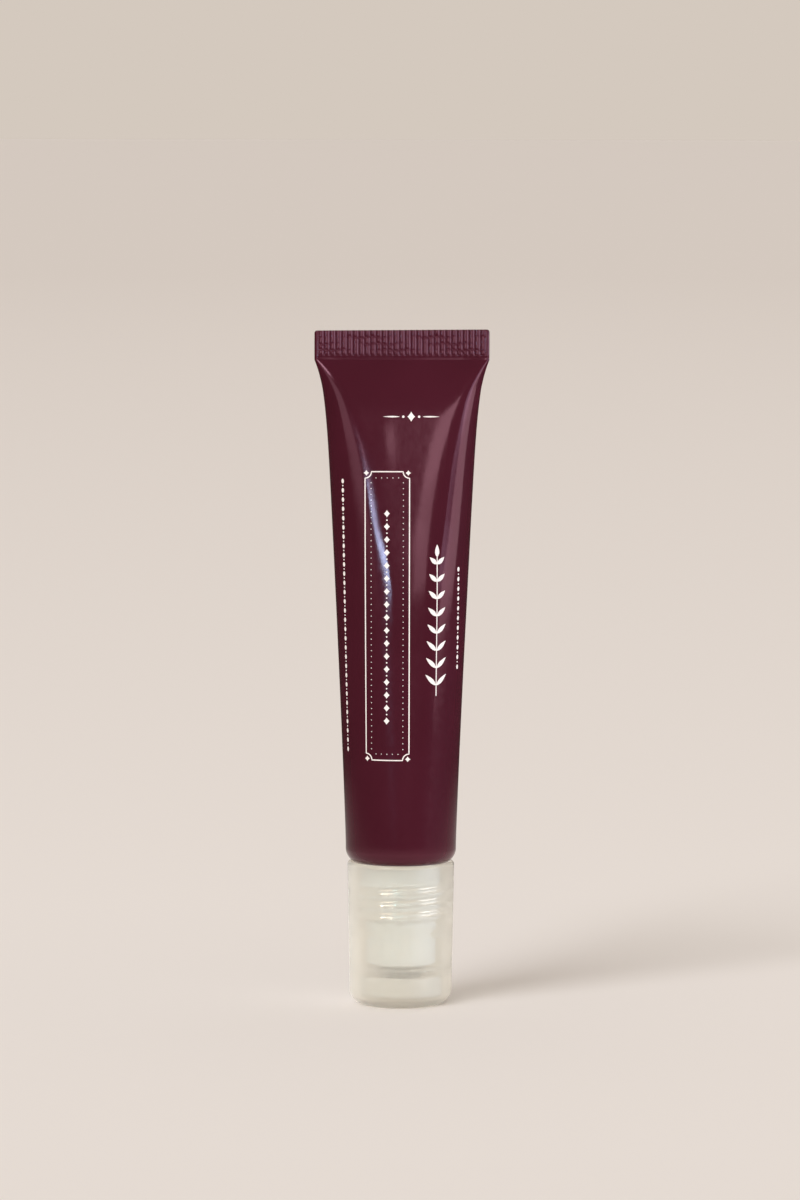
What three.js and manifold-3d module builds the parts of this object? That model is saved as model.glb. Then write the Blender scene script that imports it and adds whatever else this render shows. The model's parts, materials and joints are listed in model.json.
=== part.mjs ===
// A squeeze tube of oil with a roller-ball tip under a screw cap, standing on its cap.
// Millimetres, +Z up. The origin is the centre of the cap's closed end, which the tube stands on.
// The flat of the tube faces -Y and +Y, so the sealed end runs along X.
import * as THREE from "three";
import { mergeVertices } from "three/addons/utils/BufferGeometryUtils.js";
import Module from "manifold-3d";

const wasm = await Module();
wasm.setup();

// Sleeve: an extruded polyethylene tube, pressed flat and sealed at its upper end
const TUBE_DIAMETER = 19;
const SLEEVE_WALL = 0.5;
const SLEEVE_LENGTH = 91.45; // foot to cut edge
const FOOT_RADIUS = 2; // outer corner where the sleeve is turned in under the shoulder
const ROUND_LENGTH = 3.4; // stays round this far above the foot, on the head
const CRIMP_HEIGHT = 4.35; // ribbed part of the seal
const SEAL_BAND = 0.75; // smooth part of the seal, below the ribs
const SEAM_DEPTH = 0.6; // how far the walls have met below the seal
const RIB_PITCH = 0.988;
const RIB_CREST = 0.4; // width of a rib's top
const RIB_VALLEY = 0.3; // width of a groove's floor
const RIB_WAVE = 0.14; // ribs and grooves stand this far out of the mean plane
const RIB_MARGIN = 0.55; // plain edge at each side of the ribs
const RIB_ROOT = 0.3; // depth to which the sleeve runs into the ribbed block

// How the width grows from the round foot to the flat seal: a slow taper and a late flare
const TAPER_SHARE = 0.72;
const TAPER_POWER = 1.15;
const FLARE_POWER = 16;

// How full the faces stand: 0 is flat faces between half circles, 1 an oval. The seal's end stays flat.
const FULLNESS = 0.7;
const FULLNESS_POWER = 4; // higher keeps the faces full nearer to the seal
const OVAL_GAIN = 0.85; // how much thicker an oval of the same width and girth is
const OVAL_POWER = 1.5;

// Cap
const CAP_LENGTH = 24.3;
const CAP_INSET = 0.34; // cap mouth is this much smaller in radius than the tube
const CAP_DRAFT = 0.38; // radius lost from the mouth to the closed end
const CAP_CORNER = 2.7;
const CAP_END_WALL = 1.5;
const CAP_THREAD_WALL = 1.25; // wall behind the thread
const CAP_BORE_STEP = 0.63; // the bore is this much smaller in radius below the thread
const CAP_RIM_CHAMFER = 0.3;
const CAP_RIM_RISE = 0.45; // the mouth is dished, so its outer edge follows the sleeve's rounded foot
const CAP_BORE_FILLET = 0.8;
const GATE_RADIUS = 1.2; // moulding gate mark in the closed end
const GATE_DEPTH = 0.25;
const FOOT_GAP = 0.05; // cap mouth to the lowest part of the sleeve foot, which sits in the dished mouth

// Screw thread, on the housing and in the cap
const THREAD_PITCH = 2;
const THREAD_DEPTH = 0.85;
const THREAD_BASE = 1.1; // ridge width at its wall
const THREAD_TIP = 0.5; // ridge width at its crest
const THREAD_GAP = 0.35; // crest to the opposite wall
const THREAD_ROOT = 0.3; // the ridge is let into its wall this deep
const THREAD_FADE = 0.16; // turns over which each end runs out
const CAP_THREAD_TURNS = 3.5;
const HOUSING_THREAD_TURNS = 2;
const THREAD_SKIP = 1; // whole pitches from the cap thread's low end to the groove the housing's starts in
const MOUTH_LAND = 2.6; // plain bore between the cap mouth and its thread
const THREAD_LAND = 1; // least plain length below each thread

// Tube head: shoulder plate with a snap neck and a dosing orifice
const WELD_GAP = 0.15; // sleeve to head
const SHOULDER_THICKNESS = 1.5;
const SKIRT_WALL = 0.8;
const SKIRT_HEIGHT = 1.1;
const NECK_WALL = 1.2;
const NECK_END_WALL = 0.9;
const NECK_CHAMFER = 0.4;
const ORIFICE_RADIUS = 1;
const SNAP_BEAD = 0.28; // height of the ring that holds the housing on the neck
const SNAP_LAND = 0.4; // width of its crest
const SNAP_SLACK = 0.15; // extra half width of the groove

// Roller housing and ball
const PRESS_GAP = 0.15; // neck to socket, and housing to shoulder
const HOUSING_WALL = 1.15; // socket to thread root
const HOUSING_FLANGE = 1; // thickness of the flange on the shoulder
const FLANGE_GAP = 0.25; // flange to the sleeve's turned-in edge
const BALL_DIAMETER = 9.525;
const BALL_GAP = 0.1;
const BALL_REVEAL = 2.3; // how far the ball stands out of the housing
const NOSE_WALL = 1.2;
const NOSE_ROUND = 0.5;
const FEED_RADIUS = 1.5;
const FEED_WEB = 1.6; // cup crown to socket floor
const NECK_END_GAP = 0.3;

// Liner: a loose soft pad in the cap that seals against the ball
const LINER_HEIGHT = 3.6;
const LINER_DISH = 0.8; // depth of the hollow that takes the ball
const LINER_GAP = 0.3; // pad to ball, and pad to bore
const LINER_SEAT_GAP = 0.1;
const LINER_CHAMFER = 0.3;
const LINER_HOLD = 0.25; // the bead in the cap reaches this far over the pad
const LINER_BEAD_LAND = 0.2;

// Oil
const FILL_GAP = 0.3;
const HEADSPACE = 14; // air between the oil and the seam

// Facets
const SIDES = 32; // round a full turn
const THREAD_STEPS = 20; // round one turn of thread
const BALL_SIDES = 24;
const BALL_RINGS = 14;
const CORNER_STEPS = 4;
const CUP_STEPS = 8;
const DISH_STEPS = 4;
const OUTER_RINGS = 15;
const INNER_RINGS = 9;
const OIL_RINGS = 6;
const RING_CROWDING = 1.8; // above 1, rings crowd towards the flared end

// Heights and radii that follow from the sizes above
const TUBE_RADIUS = TUBE_DIAMETER / 2;
const BALL_RADIUS = BALL_DIAMETER / 2;
const footZ = CAP_LENGTH + FOOT_GAP;
const cutZ = footZ + SLEEVE_LENGTH;
const crimpZ = cutZ - CRIMP_HEIGHT;
const sealZ = crimpZ - SEAL_BAND;
const seamZ = sealZ - SEAM_DEPTH;
const roundZ = footZ + ROUND_LENGTH;
const sealHalfWidth = (Math.PI * TUBE_DIAMETER) / 4;
const footCentreRadius = TUBE_RADIUS - FOOT_RADIUS;
const footCentreZ = footZ + FOOT_RADIUS;

const capMouthRadius = TUBE_RADIUS - CAP_INSET;
const capEndRadius = capMouthRadius - CAP_DRAFT;
const threadBore = capMouthRadius - CAP_THREAD_WALL;
const capBore = threadBore - CAP_BORE_STEP;
const threadRoot = threadBore - THREAD_DEPTH - THREAD_GAP;
const capThreadZ = CAP_LENGTH - MOUTH_LAND - CAP_THREAD_TURNS * THREAD_PITCH;
const housingThreadZ = capThreadZ + (THREAD_SKIP + 0.5) * THREAD_PITCH; // ridge in the other's groove

const linerZ = CAP_END_WALL + LINER_SEAT_GAP;
const linerTopZ = linerZ + LINER_HEIGHT;
const linerRadius = capBore - LINER_GAP;
const ballZ = linerTopZ - LINER_DISH + LINER_GAP + BALL_RADIUS;

const faceZ = ballZ - BALL_RADIUS + BALL_REVEAL;
const cupRadius = BALL_RADIUS + BALL_GAP;
const noseRadius = cupRadius + NOSE_WALL;
const socketFloorZ = ballZ + cupRadius + FEED_WEB;
const socketRadius = threadRoot - HOUSING_WALL;
const shoulderZ = footZ + SLEEVE_WALL + WELD_GAP;
const housingTopZ = shoulderZ - PRESS_GAP;

const plateRadius = TUBE_RADIUS - SLEEVE_WALL - WELD_GAP;
const plateTopZ = shoulderZ + SHOULDER_THICKNESS;
const skirtTopZ = plateTopZ + SKIRT_HEIGHT;
const skirtBore = plateRadius - SKIRT_WALL;
const neckRadius = socketRadius - PRESS_GAP;
const neckBore = neckRadius - NECK_WALL;
const neckEndZ = socketFloorZ + NECK_END_GAP;
const snapZ = (neckEndZ + housingTopZ) / 2;

const at = (radius, height) => new THREE.Vector2(radius, height);

// Points on an arc in the profile plane, from one angle to another in degrees, both ends included.
function arc(centreRadius, centreZ, radius, fromDegrees, toDegrees, steps) {
  const points = [];
  for (let i = 0; i <= steps; i++) {
    const angle = THREE.MathUtils.degToRad(fromDegrees + ((toDegrees - fromDegrees) * i) / steps);
    points.push(at(centreRadius + radius * Math.cos(angle), centreZ + radius * Math.sin(angle)));
  }
  return points;
}

// A turned piece about the Z axis. A profile that doesn't start on the axis closes on itself.
function turned(profile) {
  const points = profile[0].x === 0 ? profile : [...profile, profile[0].clone()];
  const geometry = new THREE.LatheGeometry(points, SIDES, Math.PI / SIDES, 2 * Math.PI);
  return geometry.rotateX(Math.PI / 2);
}

// A closed geometry as a solid, with coincident vertices merged and empty triangles left out.
function solidOf(geometry) {
  const bare = geometry.clone();
  bare.deleteAttribute("normal");
  bare.deleteAttribute("uv");
  const merged = mergeVertices(bare, 1e-4);
  const corners = merged.index.array;
  const triangles = [];
  for (let i = 0; i < corners.length; i += 3) {
    const [a, b, c] = [corners[i], corners[i + 1], corners[i + 2]];
    if (a !== b && b !== c && c !== a) triangles.push(a, b, c);
  }
  const vertProperties = new Float32Array(merged.attributes.position.array);
  const build = (order) =>
    new wasm.Manifold(new wasm.Mesh({ numProp: 3, vertProperties, triVerts: new Uint32Array(order) }));
  const solid = build(triangles);
  return solid.volume() > 0 ? solid : build(triangles.reverse());
}

function geometryOf(solid) {
  const mesh = solid.getMesh();
  const geometry = new THREE.BufferGeometry();
  geometry.setAttribute("position", new THREE.BufferAttribute(mesh.vertProperties, 3));
  geometry.setIndex(new THREE.BufferAttribute(mesh.triVerts, 1));
  geometry.computeVertexNormals();
  return geometry;
}

// Moves every vertex of a geometry to where the given function puts it.
function bend(geometry, place) {
  const position = geometry.attributes.position;
  const point = new THREE.Vector3();
  for (let i = 0; i < position.count; i++) {
    place(point.fromBufferAttribute(position, i));
    position.setXYZ(i, point.x, point.y, point.z);
  }
  return geometry;
}

// The sleeve's outside at a height. The girth stays that of the round tube, so a section is two half circles
// joined by flats, from a full circle at the foot to two walls at the seal, and blends towards an oval.
function sleeveSection(z) {
  const share = THREE.MathUtils.clamp((z - roundZ) / (sealZ - roundZ), 0, 1);
  const taper = TAPER_SHARE * share ** TAPER_POWER + (1 - TAPER_SHARE) * share ** FLARE_POWER;
  const halfWidth = THREE.MathUtils.lerp(TUBE_RADIUS, sealHalfWidth, taper);
  const roundness = (sealHalfWidth - halfWidth) / (sealHalfWidth - TUBE_RADIUS);
  const flatHalf = THREE.MathUtils.lerp(SLEEVE_WALL, TUBE_RADIUS, roundness);
  const ovalGain = OVAL_GAIN * (1 - flatHalf / TUBE_RADIUS) ** OVAL_POWER;
  const ovalHalf = flatHalf + (flatHalf - SLEEVE_WALL) * ovalGain;
  return { halfWidth, flatHalf, ovalHalf, fullness: FULLNESS * (1 - share ** FULLNESS_POWER) };
}

// Presses a round tube flat towards its upper end, keeping each point's depth below the outer skin.
function pressFlat(point) {
  const radius = Math.hypot(point.x, point.y);
  if (radius < 1e-6) return;
  const { halfWidth, flatHalf, ovalHalf, fullness } = sleeveSection(point.z);
  const depth = TUBE_RADIUS - radius;
  const across = point.x / radius;
  const through = point.y / radius;
  const flatX = Math.sign(across) * (halfWidth - flatHalf) + across * (flatHalf - depth);
  point.x = THREE.MathUtils.lerp(flatX, across * (halfWidth - depth), fullness);
  point.y = through * (THREE.MathUtils.lerp(flatHalf, ovalHalf, fullness) - depth);
}

// Heights from one level to another, crowding towards the upper one where the sleeve flares.
function crowdedHeights(fromZ, toZ, count) {
  return Array.from({ length: count + 1 }, (_, i) => {
    return THREE.MathUtils.lerp(fromZ, toZ, 1 - (1 - i / count) ** RING_CROWDING);
  });
}

// Outline of the ribbed seal, seen from above: a wave of flat-topped ribs along both faces.
function crimpOutline() {
  const count = Math.floor((2 * (sealHalfWidth - RIB_MARGIN)) / RIB_PITCH);
  const slope = (RIB_PITCH - RIB_CREST - RIB_VALLEY) / 2;
  const start = (-count * RIB_PITCH) / 2;
  const wave = [at(-sealHalfWidth, 0)];
  for (let i = 0; i < count; i++) {
    const x = start + i * RIB_PITCH + RIB_VALLEY / 2;
    wave.push(at(x, RIB_WAVE));
    wave.push(at(x + slope, -RIB_WAVE));
    wave.push(at(x + slope + RIB_CREST, -RIB_WAVE));
    wave.push(at(x + 2 * slope + RIB_CREST, RIB_WAVE));
  }
  wave.push(at(sealHalfWidth, 0));
  const front = wave.map((p) => at(p.x, p.y - SLEEVE_WALL));
  const back = wave.map((p) => at(p.x, p.y + SLEEVE_WALL)).reverse();
  return new THREE.Shape([...front, ...back]);
}

function tubeSleeve() {
  const innerRadius = TUBE_RADIUS - SLEEVE_WALL;
  const inner = crowdedHeights(footCentreZ, seamZ, INNER_RINGS).map((z) => at(innerRadius, z));
  const outer = crowdedHeights(footCentreZ, sealZ, OUTER_RINGS).map((z) => at(TUBE_RADIUS, z));
  const innerCorner = arc(footCentreRadius, footCentreZ, FOOT_RADIUS - SLEEVE_WALL, 0, -90, CORNER_STEPS);
  const outerCorner = arc(footCentreRadius, footCentreZ, FOOT_RADIUS, -90, 0, CORNER_STEPS);
  const profile = [
    at(0, seamZ),
    ...inner.reverse(),
    ...innerCorner.slice(1),
    ...outerCorner,
    ...outer.slice(1),
    at(TUBE_RADIUS, crimpZ),
    at(TUBE_RADIUS - SLEEVE_WALL / 2, crimpZ + RIB_ROOT),
    at(0, crimpZ + RIB_ROOT),
  ];
  const body = solidOf(bend(turned(profile), pressFlat));
  const ribs = new THREE.ExtrudeGeometry(crimpOutline(), { depth: CRIMP_HEIGHT, bevelEnabled: false });
  return geometryOf(body.add(solidOf(ribs.translate(0, 0, crimpZ))));
}

// A thread ridge wound from a straight bar: outward 1 stands out of a shaft, -1 stands into a bore.
function threadRidge(wallRadius, outward, lowZ, turns) {
  const bar = new THREE.BoxGeometry(1, 1, 1, Math.round(turns * THREAD_STEPS), 1, 1);
  return bend(bar, (point) => {
    const along = point.x + 0.5;
    const isCrest = point.z > 0;
    const fade = Math.min(1, (Math.min(along, 1 - along) * turns) / THREAD_FADE);
    const height = isCrest ? THREE.MathUtils.lerp(-THREAD_ROOT / 4, THREAD_DEPTH, fade) : -THREAD_ROOT;
    const width = isCrest ? THREAD_TIP : THREAD_BASE;
    const radius = wallRadius + outward * height;
    const angle = along * turns * 2 * Math.PI;
    const z = lowZ + along * turns * THREAD_PITCH - outward * point.y * width;
    point.set(radius * Math.cos(angle), radius * Math.sin(angle), z);
  });
}

// The snap ring round the neck, or its groove in the socket, as profile points from low to high.
function snapRing(wallRadius, slack) {
  const half = SNAP_LAND / 2 + slack;
  return [
    at(wallRadius, snapZ - half - SNAP_BEAD),
    at(wallRadius + SNAP_BEAD, snapZ - half),
    at(wallRadius + SNAP_BEAD, snapZ + half),
    at(wallRadius, snapZ + half + SNAP_BEAD),
  ];
}

function tubeHead() {
  const cornerRadius = FOOT_RADIUS - SLEEVE_WALL - WELD_GAP;
  return geometryOf(
    solidOf(
      turned([
        at(ORIFICE_RADIUS, neckEndZ),
        at(neckRadius - NECK_CHAMFER, neckEndZ),
        at(neckRadius, neckEndZ + NECK_CHAMFER),
        ...snapRing(neckRadius, 0),
        at(neckRadius, shoulderZ),
        ...arc(footCentreRadius, footCentreZ, cornerRadius, -90, 0, CORNER_STEPS),
        at(plateRadius, skirtTopZ),
        at(skirtBore, skirtTopZ),
        at(skirtBore, plateTopZ),
        at(neckBore, plateTopZ),
        at(neckBore, neckEndZ + NECK_END_WALL),
        at(ORIFICE_RADIUS, neckEndZ + NECK_END_WALL),
      ]),
    ),
  );
}

function rollerHousing() {
  const flangeRadius = footCentreRadius - FLANGE_GAP;
  const flangeZ = housingTopZ - HOUSING_FLANGE;
  const stepZ = Math.min(housingThreadZ - THREAD_LAND, socketFloorZ - FEED_WEB / 2);
  const crownDegrees = THREE.MathUtils.radToDeg(Math.acos(FEED_RADIUS / cupRadius));
  const lipDegrees = THREE.MathUtils.radToDeg(Math.asin((faceZ - ballZ) / cupRadius));
  const body = turned([
    ...arc(0, ballZ, cupRadius, crownDegrees, lipDegrees, CUP_STEPS),
    at(noseRadius - NOSE_ROUND, faceZ),
    at(noseRadius, faceZ + NOSE_ROUND),
    at(noseRadius, stepZ - Math.abs(threadRoot - noseRadius)),
    at(threadRoot, stepZ),
    at(threadRoot, flangeZ),
    at(flangeRadius, flangeZ),
    at(flangeRadius, housingTopZ),
    at(socketRadius, housingTopZ),
    ...snapRing(socketRadius, SNAP_SLACK).reverse(),
    at(socketRadius, socketFloorZ),
    at(FEED_RADIUS, socketFloorZ),
  ]);
  const thread = threadRidge(threadRoot, 1, housingThreadZ, HOUSING_THREAD_TURNS);
  return geometryOf(solidOf(body).add(solidOf(thread)));
}

function rollerBall() {
  return new THREE.SphereGeometry(BALL_RADIUS, BALL_SIDES, BALL_RINGS);
}

function screwCap() {
  const boreStepZ = capThreadZ - THREAD_LAND;
  const beadRadius = linerRadius - LINER_HOLD;
  const beadHeight = capBore - beadRadius;
  const beadZ = linerTopZ + LINER_SEAT_GAP;
  const cornerRadius = capEndRadius - CAP_CORNER;
  const body = turned([
    at(0, GATE_DEPTH),
    at(GATE_RADIUS, GATE_DEPTH),
    at(GATE_RADIUS + GATE_DEPTH, 0),
    ...arc(cornerRadius, CAP_CORNER, CAP_CORNER, -90, 0, CORNER_STEPS + 1),
    at(capMouthRadius, CAP_LENGTH + CAP_RIM_RISE - CAP_RIM_CHAMFER),
    at(capMouthRadius - CAP_RIM_CHAMFER, CAP_LENGTH + CAP_RIM_RISE),
    at(threadBore + CAP_RIM_CHAMFER, CAP_LENGTH),
    at(threadBore, CAP_LENGTH - CAP_RIM_CHAMFER),
    at(threadBore, boreStepZ),
    at(capBore, boreStepZ - CAP_BORE_STEP),
    at(capBore, beadZ + beadHeight + LINER_BEAD_LAND + beadHeight),
    at(beadRadius, beadZ + beadHeight + LINER_BEAD_LAND),
    at(beadRadius, beadZ + beadHeight),
    at(capBore, beadZ),
    at(capBore, CAP_END_WALL + CAP_BORE_FILLET),
    at(capBore - CAP_BORE_FILLET, CAP_END_WALL),
    at(0, CAP_END_WALL),
  ]);
  const thread = threadRidge(threadBore, -1, capThreadZ, CAP_THREAD_TURNS);
  return geometryOf(solidOf(body).add(solidOf(thread)));
}

function capLiner() {
  const dishRadius = BALL_RADIUS + LINER_GAP;
  const rimDegrees = THREE.MathUtils.radToDeg(Math.asin((linerTopZ - ballZ) / dishRadius));
  const dish = arc(0, ballZ, dishRadius, -90, rimDegrees, DISH_STEPS);
  dish[0].x = 0;
  return geometryOf(
    solidOf(
      turned([
        ...dish,
        at(linerRadius - LINER_CHAMFER, linerTopZ),
        at(linerRadius, linerTopZ - LINER_CHAMFER),
        at(linerRadius, linerZ + CAP_BORE_FILLET),
        at(linerRadius - CAP_BORE_FILLET, linerZ),
        at(0, linerZ),
      ]),
    ),
  );
}

function oilFill() {
  const wallRadius = TUBE_RADIUS - SLEEVE_WALL - FILL_GAP;
  const floorZ = plateTopZ + FILL_GAP;
  const ledgeZ = skirtTopZ + FILL_GAP;
  const levelZ = seamZ - HEADSPACE;
  const wall = crowdedHeights(ledgeZ, levelZ, OIL_RINGS).map((z) => at(wallRadius, z));
  const profile = [
    at(0, neckEndZ + NECK_END_WALL + FILL_GAP),
    at(neckBore - FILL_GAP, neckEndZ + NECK_END_WALL + FILL_GAP),
    at(neckBore - FILL_GAP, floorZ),
    at(skirtBore - FILL_GAP, floorZ),
    at(skirtBore - FILL_GAP, ledgeZ),
    ...wall,
    at(0, levelZ),
  ];
  return geometryOf(solidOf(bend(turned(profile), pressFlat)));
}

const burgundyPolyethylene = new THREE.MeshStandardMaterial({
  color: 0x561c2a,
  roughness: 0.35,
  metalness: 0,
});
const naturalPolyethylene = new THREE.MeshStandardMaterial({ color: 0xe9e7de, roughness: 0.5, metalness: 0 });
const frostedPolypropylene = new THREE.MeshStandardMaterial({
  color: 0xdcd8cc,
  roughness: 0.6,
  metalness: 0,
  transparent: true,
  opacity: 0.6,
});
const softPad = new THREE.MeshStandardMaterial({ color: 0xe6e0d4, roughness: 0.8, metalness: 0 });
const polishedSteel = new THREE.MeshStandardMaterial({ color: 0xc9c9c6, roughness: 0.12, metalness: 1 });
const amberOil = new THREE.MeshStandardMaterial({
  color: 0xd8a64a,
  roughness: 0.1,
  metalness: 0,
  transparent: true,
  opacity: 0.8,
});

function piece(name, geometry, material) {
  const mesh = new THREE.Mesh(geometry, material);
  mesh.name = name;
  return mesh;
}

const tube = new THREE.Group();
tube.add(piece("tube_sleeve", tubeSleeve(), burgundyPolyethylene));
tube.add(piece("tube_head", tubeHead(), naturalPolyethylene));
tube.add(piece("roller_housing", rollerHousing(), naturalPolyethylene));
tube.add(piece("oil_fill", oilFill(), amberOil));

const ball = piece("roller_ball", rollerBall(), polishedSteel);
ball.position.z = ballZ;
tube.add(ball);

const cap = new THREE.Group();
cap.add(piece("screw_cap", screwCap(), frostedPolypropylene));
cap.add(piece("cap_liner", capLiner(), softPad));

const rollerTube = new THREE.Group();
rollerTube.add(tube, cap);

export default rollerTube;
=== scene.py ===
"""Dress the roller-ball squeeze tube: a burgundy sleeve with a ribbed seal, on its frosted screw cap.

Sizes are millimetres in the row frame unless a name says otherwise. Meshes are made in metres.
"""

import json
import logging
import math
from abc import ABC, abstractmethod
from dataclasses import dataclass
from enum import Enum
from typing import Any, Optional, Sequence

import bmesh
import bpy
import numpy as np
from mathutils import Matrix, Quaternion, Vector

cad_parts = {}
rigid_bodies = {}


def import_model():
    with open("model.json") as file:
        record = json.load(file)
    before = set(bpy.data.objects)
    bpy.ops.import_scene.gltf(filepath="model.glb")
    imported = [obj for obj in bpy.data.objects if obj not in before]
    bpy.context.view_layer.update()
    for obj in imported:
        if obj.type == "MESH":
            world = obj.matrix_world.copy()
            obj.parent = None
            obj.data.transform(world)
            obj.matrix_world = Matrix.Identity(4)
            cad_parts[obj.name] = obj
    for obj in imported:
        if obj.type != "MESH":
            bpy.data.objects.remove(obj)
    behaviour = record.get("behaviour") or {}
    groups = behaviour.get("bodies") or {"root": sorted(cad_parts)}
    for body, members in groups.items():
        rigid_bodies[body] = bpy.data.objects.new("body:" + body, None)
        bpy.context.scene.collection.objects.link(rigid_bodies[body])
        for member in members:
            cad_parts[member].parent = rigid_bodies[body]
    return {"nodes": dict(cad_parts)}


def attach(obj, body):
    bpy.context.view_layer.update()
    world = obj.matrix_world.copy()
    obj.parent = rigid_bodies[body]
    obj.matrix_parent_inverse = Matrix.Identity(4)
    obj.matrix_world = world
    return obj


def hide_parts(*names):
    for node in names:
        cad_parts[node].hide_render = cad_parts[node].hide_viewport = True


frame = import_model()

LOG = logging.getLogger("roller_tube")
MM = 0.001
IMAGE_HEIGHT = 1200

# Nearly all of a noise pattern lies between these values, so they are spread over its whole effect
NOISE_MIDDLE = {"From Min": 0.3, "From Max": 0.7}

# Distance between points up a wall that carries a thread
THREAD_STEP = 0.07

# Two radii closer than this are the same, and a radius below it is on the axis
SAME_RADIUS = 1e-6

# A vector shorter than this has no direction
NO_LENGTH = 1e-9

Point = tuple[float, float]
Span = tuple[float, float]
Colour = tuple[float, float, float, float]


class Body(Enum):
    """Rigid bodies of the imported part."""

    CAP = "cap"
    LINER = "liner"
    TUBE = "tube"
    BALL = "ball"


def linear(code: str) -> Colour:
    """Turn an sRGB hex colour into the linear colour that shaders take.

    Args:
        code: Colour as "#rrggbb".

    Returns:
        Red, green, blue and an alpha of one.
    """
    channels = [int(code[i : i + 2], 16) / 255 for i in (1, 3, 5)]
    red, green, blue = (c / 12.92 if c <= 0.04045 else ((c + 0.055) / 1.055) ** 2.4 for c in channels)
    return red, green, blue, 1.0


def per_metre(size: float) -> float:
    """Return the pattern scale that repeats about once in a size in millimetres."""
    return 1 / (size * MM)


def add_node(
    tree: bpy.types.NodeTree, kind: str, inputs: Optional[dict[Any, Any]] = None, **settings: Any
) -> bpy.types.Node:
    """Add a shader node, set its options, and fill or link its inputs.

    Args:
        tree: Node tree that takes the node.
        kind: Blender's name of the node's type.
        inputs: Input name or number to a value, to the output socket to link, or to a node whose first
            output is linked.
        settings: Options of the node itself.

    Returns:
        The new node.
    """
    node = tree.nodes.new(kind)
    for name, value in settings.items():
        setattr(node, name, value)
    for name, value in (inputs or {}).items():
        source = value.outputs[0] if isinstance(value, bpy.types.Node) else value
        if isinstance(source, bpy.types.NodeSocket):
            tree.links.new(source, node.inputs[name])
        else:
            node.inputs[name].default_value = source
    return node


def mirrored_ray(tree: bpy.types.NodeTree) -> bpy.types.Node:
    """Tell light that a surface mirrors from what is seen directly, through glass or as fill.

    Args:
        tree: Node tree that takes the nodes.

    Returns:
        A node that gives 1 for mirrored light and 0 for the rest.
    """
    path = add_node(tree, "ShaderNodeLightPath")
    rays = {0: path.outputs["Is Glossy Ray"], 1: path.outputs["Is Transmission Ray"]}
    return add_node(tree, "ShaderNodeMath", rays, operation="SUBTRACT", use_clamp=True)


def lit_through(tree: bpy.types.NodeTree, shader: bpy.types.Node, colour: str) -> bpy.types.Node:
    """Let the light of lamps pass a milky plastic.

    Args:
        tree: Node tree that takes the nodes.
        shader: The plastic's shader.
        colour: What is left of white light behind it, as "#rrggbb".

    Returns:
        The shader for all but shadow rays, which are only tinted.
    """
    path = add_node(tree, "ShaderNodeLightPath")
    clear = add_node(tree, "ShaderNodeBsdfTransparent", {"Color": linear(colour)})
    return add_node(tree, "ShaderNodeMixShader", {0: path.outputs["Is Shadow Ray"], 1: shader, 2: clear})


@dataclass(frozen=True)
class Finish(ABC):
    """A real material with its surface, as a procedural shader.

    Pattern sizes and depths are millimetres. A roughness of two numbers varies between them.
    """

    name: str

    @abstractmethod
    def surface(self, tree: bpy.types.NodeTree) -> bpy.types.Node:
        """Add the shader with its patterns.

        Args:
            tree: The material's node tree.

        Returns:
            The shader that the material shows.
        """

    def material(self) -> bpy.types.Material:
        """Make this finish as a Blender material, once.

        Returns:
            The material.
        """
        known = bpy.data.materials.get(self.name)
        if known:
            return known
        material = bpy.data.materials.new(self.name)
        material.use_nodes = True
        tree = material.node_tree
        tree.nodes.clear()
        add_node(tree, "ShaderNodeOutputMaterial", {"Surface": self.surface(tree)})
        return material


@dataclass(frozen=True)
class ExtrudedPolyethylene(Finish):
    """Coloured low-density polyethylene, extruded as a tube and lacquered.

    The lacquer gives a satin gloss with soft streaks; the die leaves faint lines along the tube, and the
    skin has the slight orange peel of soft plastic.
    """

    colour: str
    deep_colour: str
    gloss_tint: str
    roughness: Span = (0.09, 0.14)
    ior: float = 1.51
    cloud_size: float = 14.0
    peel_size: float = 0.9
    peel_detail: float = 3.0
    peel_depth: float = 0.004
    die_line_size: float = 0.7
    die_line_depth: float = 0.002
    die_line_stretch: float = 0.02

    def surface(self, tree: bpy.types.NodeTree) -> bpy.types.Node:
        """Add a clouded colour, satin gloss, orange peel and die lines.

        Args:
            tree: The material's node tree.

        Returns:
            The lacquered plastic.
        """
        place = add_node(tree, "ShaderNodeTexCoord").outputs["Object"]
        cloud = add_node(tree, "ShaderNodeTexNoise", {"Vector": place, "Scale": per_metre(self.cloud_size)})
        drawn = add_node(
            tree, "ShaderNodeMapping", {"Vector": place, "Scale": Vector((1, 1, self.die_line_stretch))}
        )
        lines = add_node(
            tree, "ShaderNodeTexNoise", {"Vector": drawn, "Scale": per_metre(self.die_line_size)}
        )
        peel = add_node(
            tree,
            "ShaderNodeTexNoise",
            {"Vector": place, "Scale": per_metre(self.peel_size), "Detail": self.peel_detail},
        )
        share = add_node(tree, "ShaderNodeMapRange", {"Value": cloud, **NOISE_MIDDLE})
        colours = {0: share, 6: linear(self.colour), 7: linear(self.deep_colour)}
        low, high = self.roughness
        gloss = {"Value": peel, **NOISE_MIDDLE, "To Min": low, "To Max": high}
        lined = add_node(tree, "ShaderNodeBump", {"Height": lines, "Distance": self.die_line_depth * MM})
        skin = {"Height": peel, "Distance": self.peel_depth * MM, "Normal": lined}
        return add_node(
            tree,
            "ShaderNodeBsdfPrincipled",
            {
                "Base Color": add_node(tree, "ShaderNodeMix", colours, data_type="RGBA").outputs[2],
                "Roughness": add_node(tree, "ShaderNodeMapRange", gloss),
                "Normal": add_node(tree, "ShaderNodeBump", skin),
                "Specular Tint": linear(self.gloss_tint),
                "IOR": self.ior,
            },
        )


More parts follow.
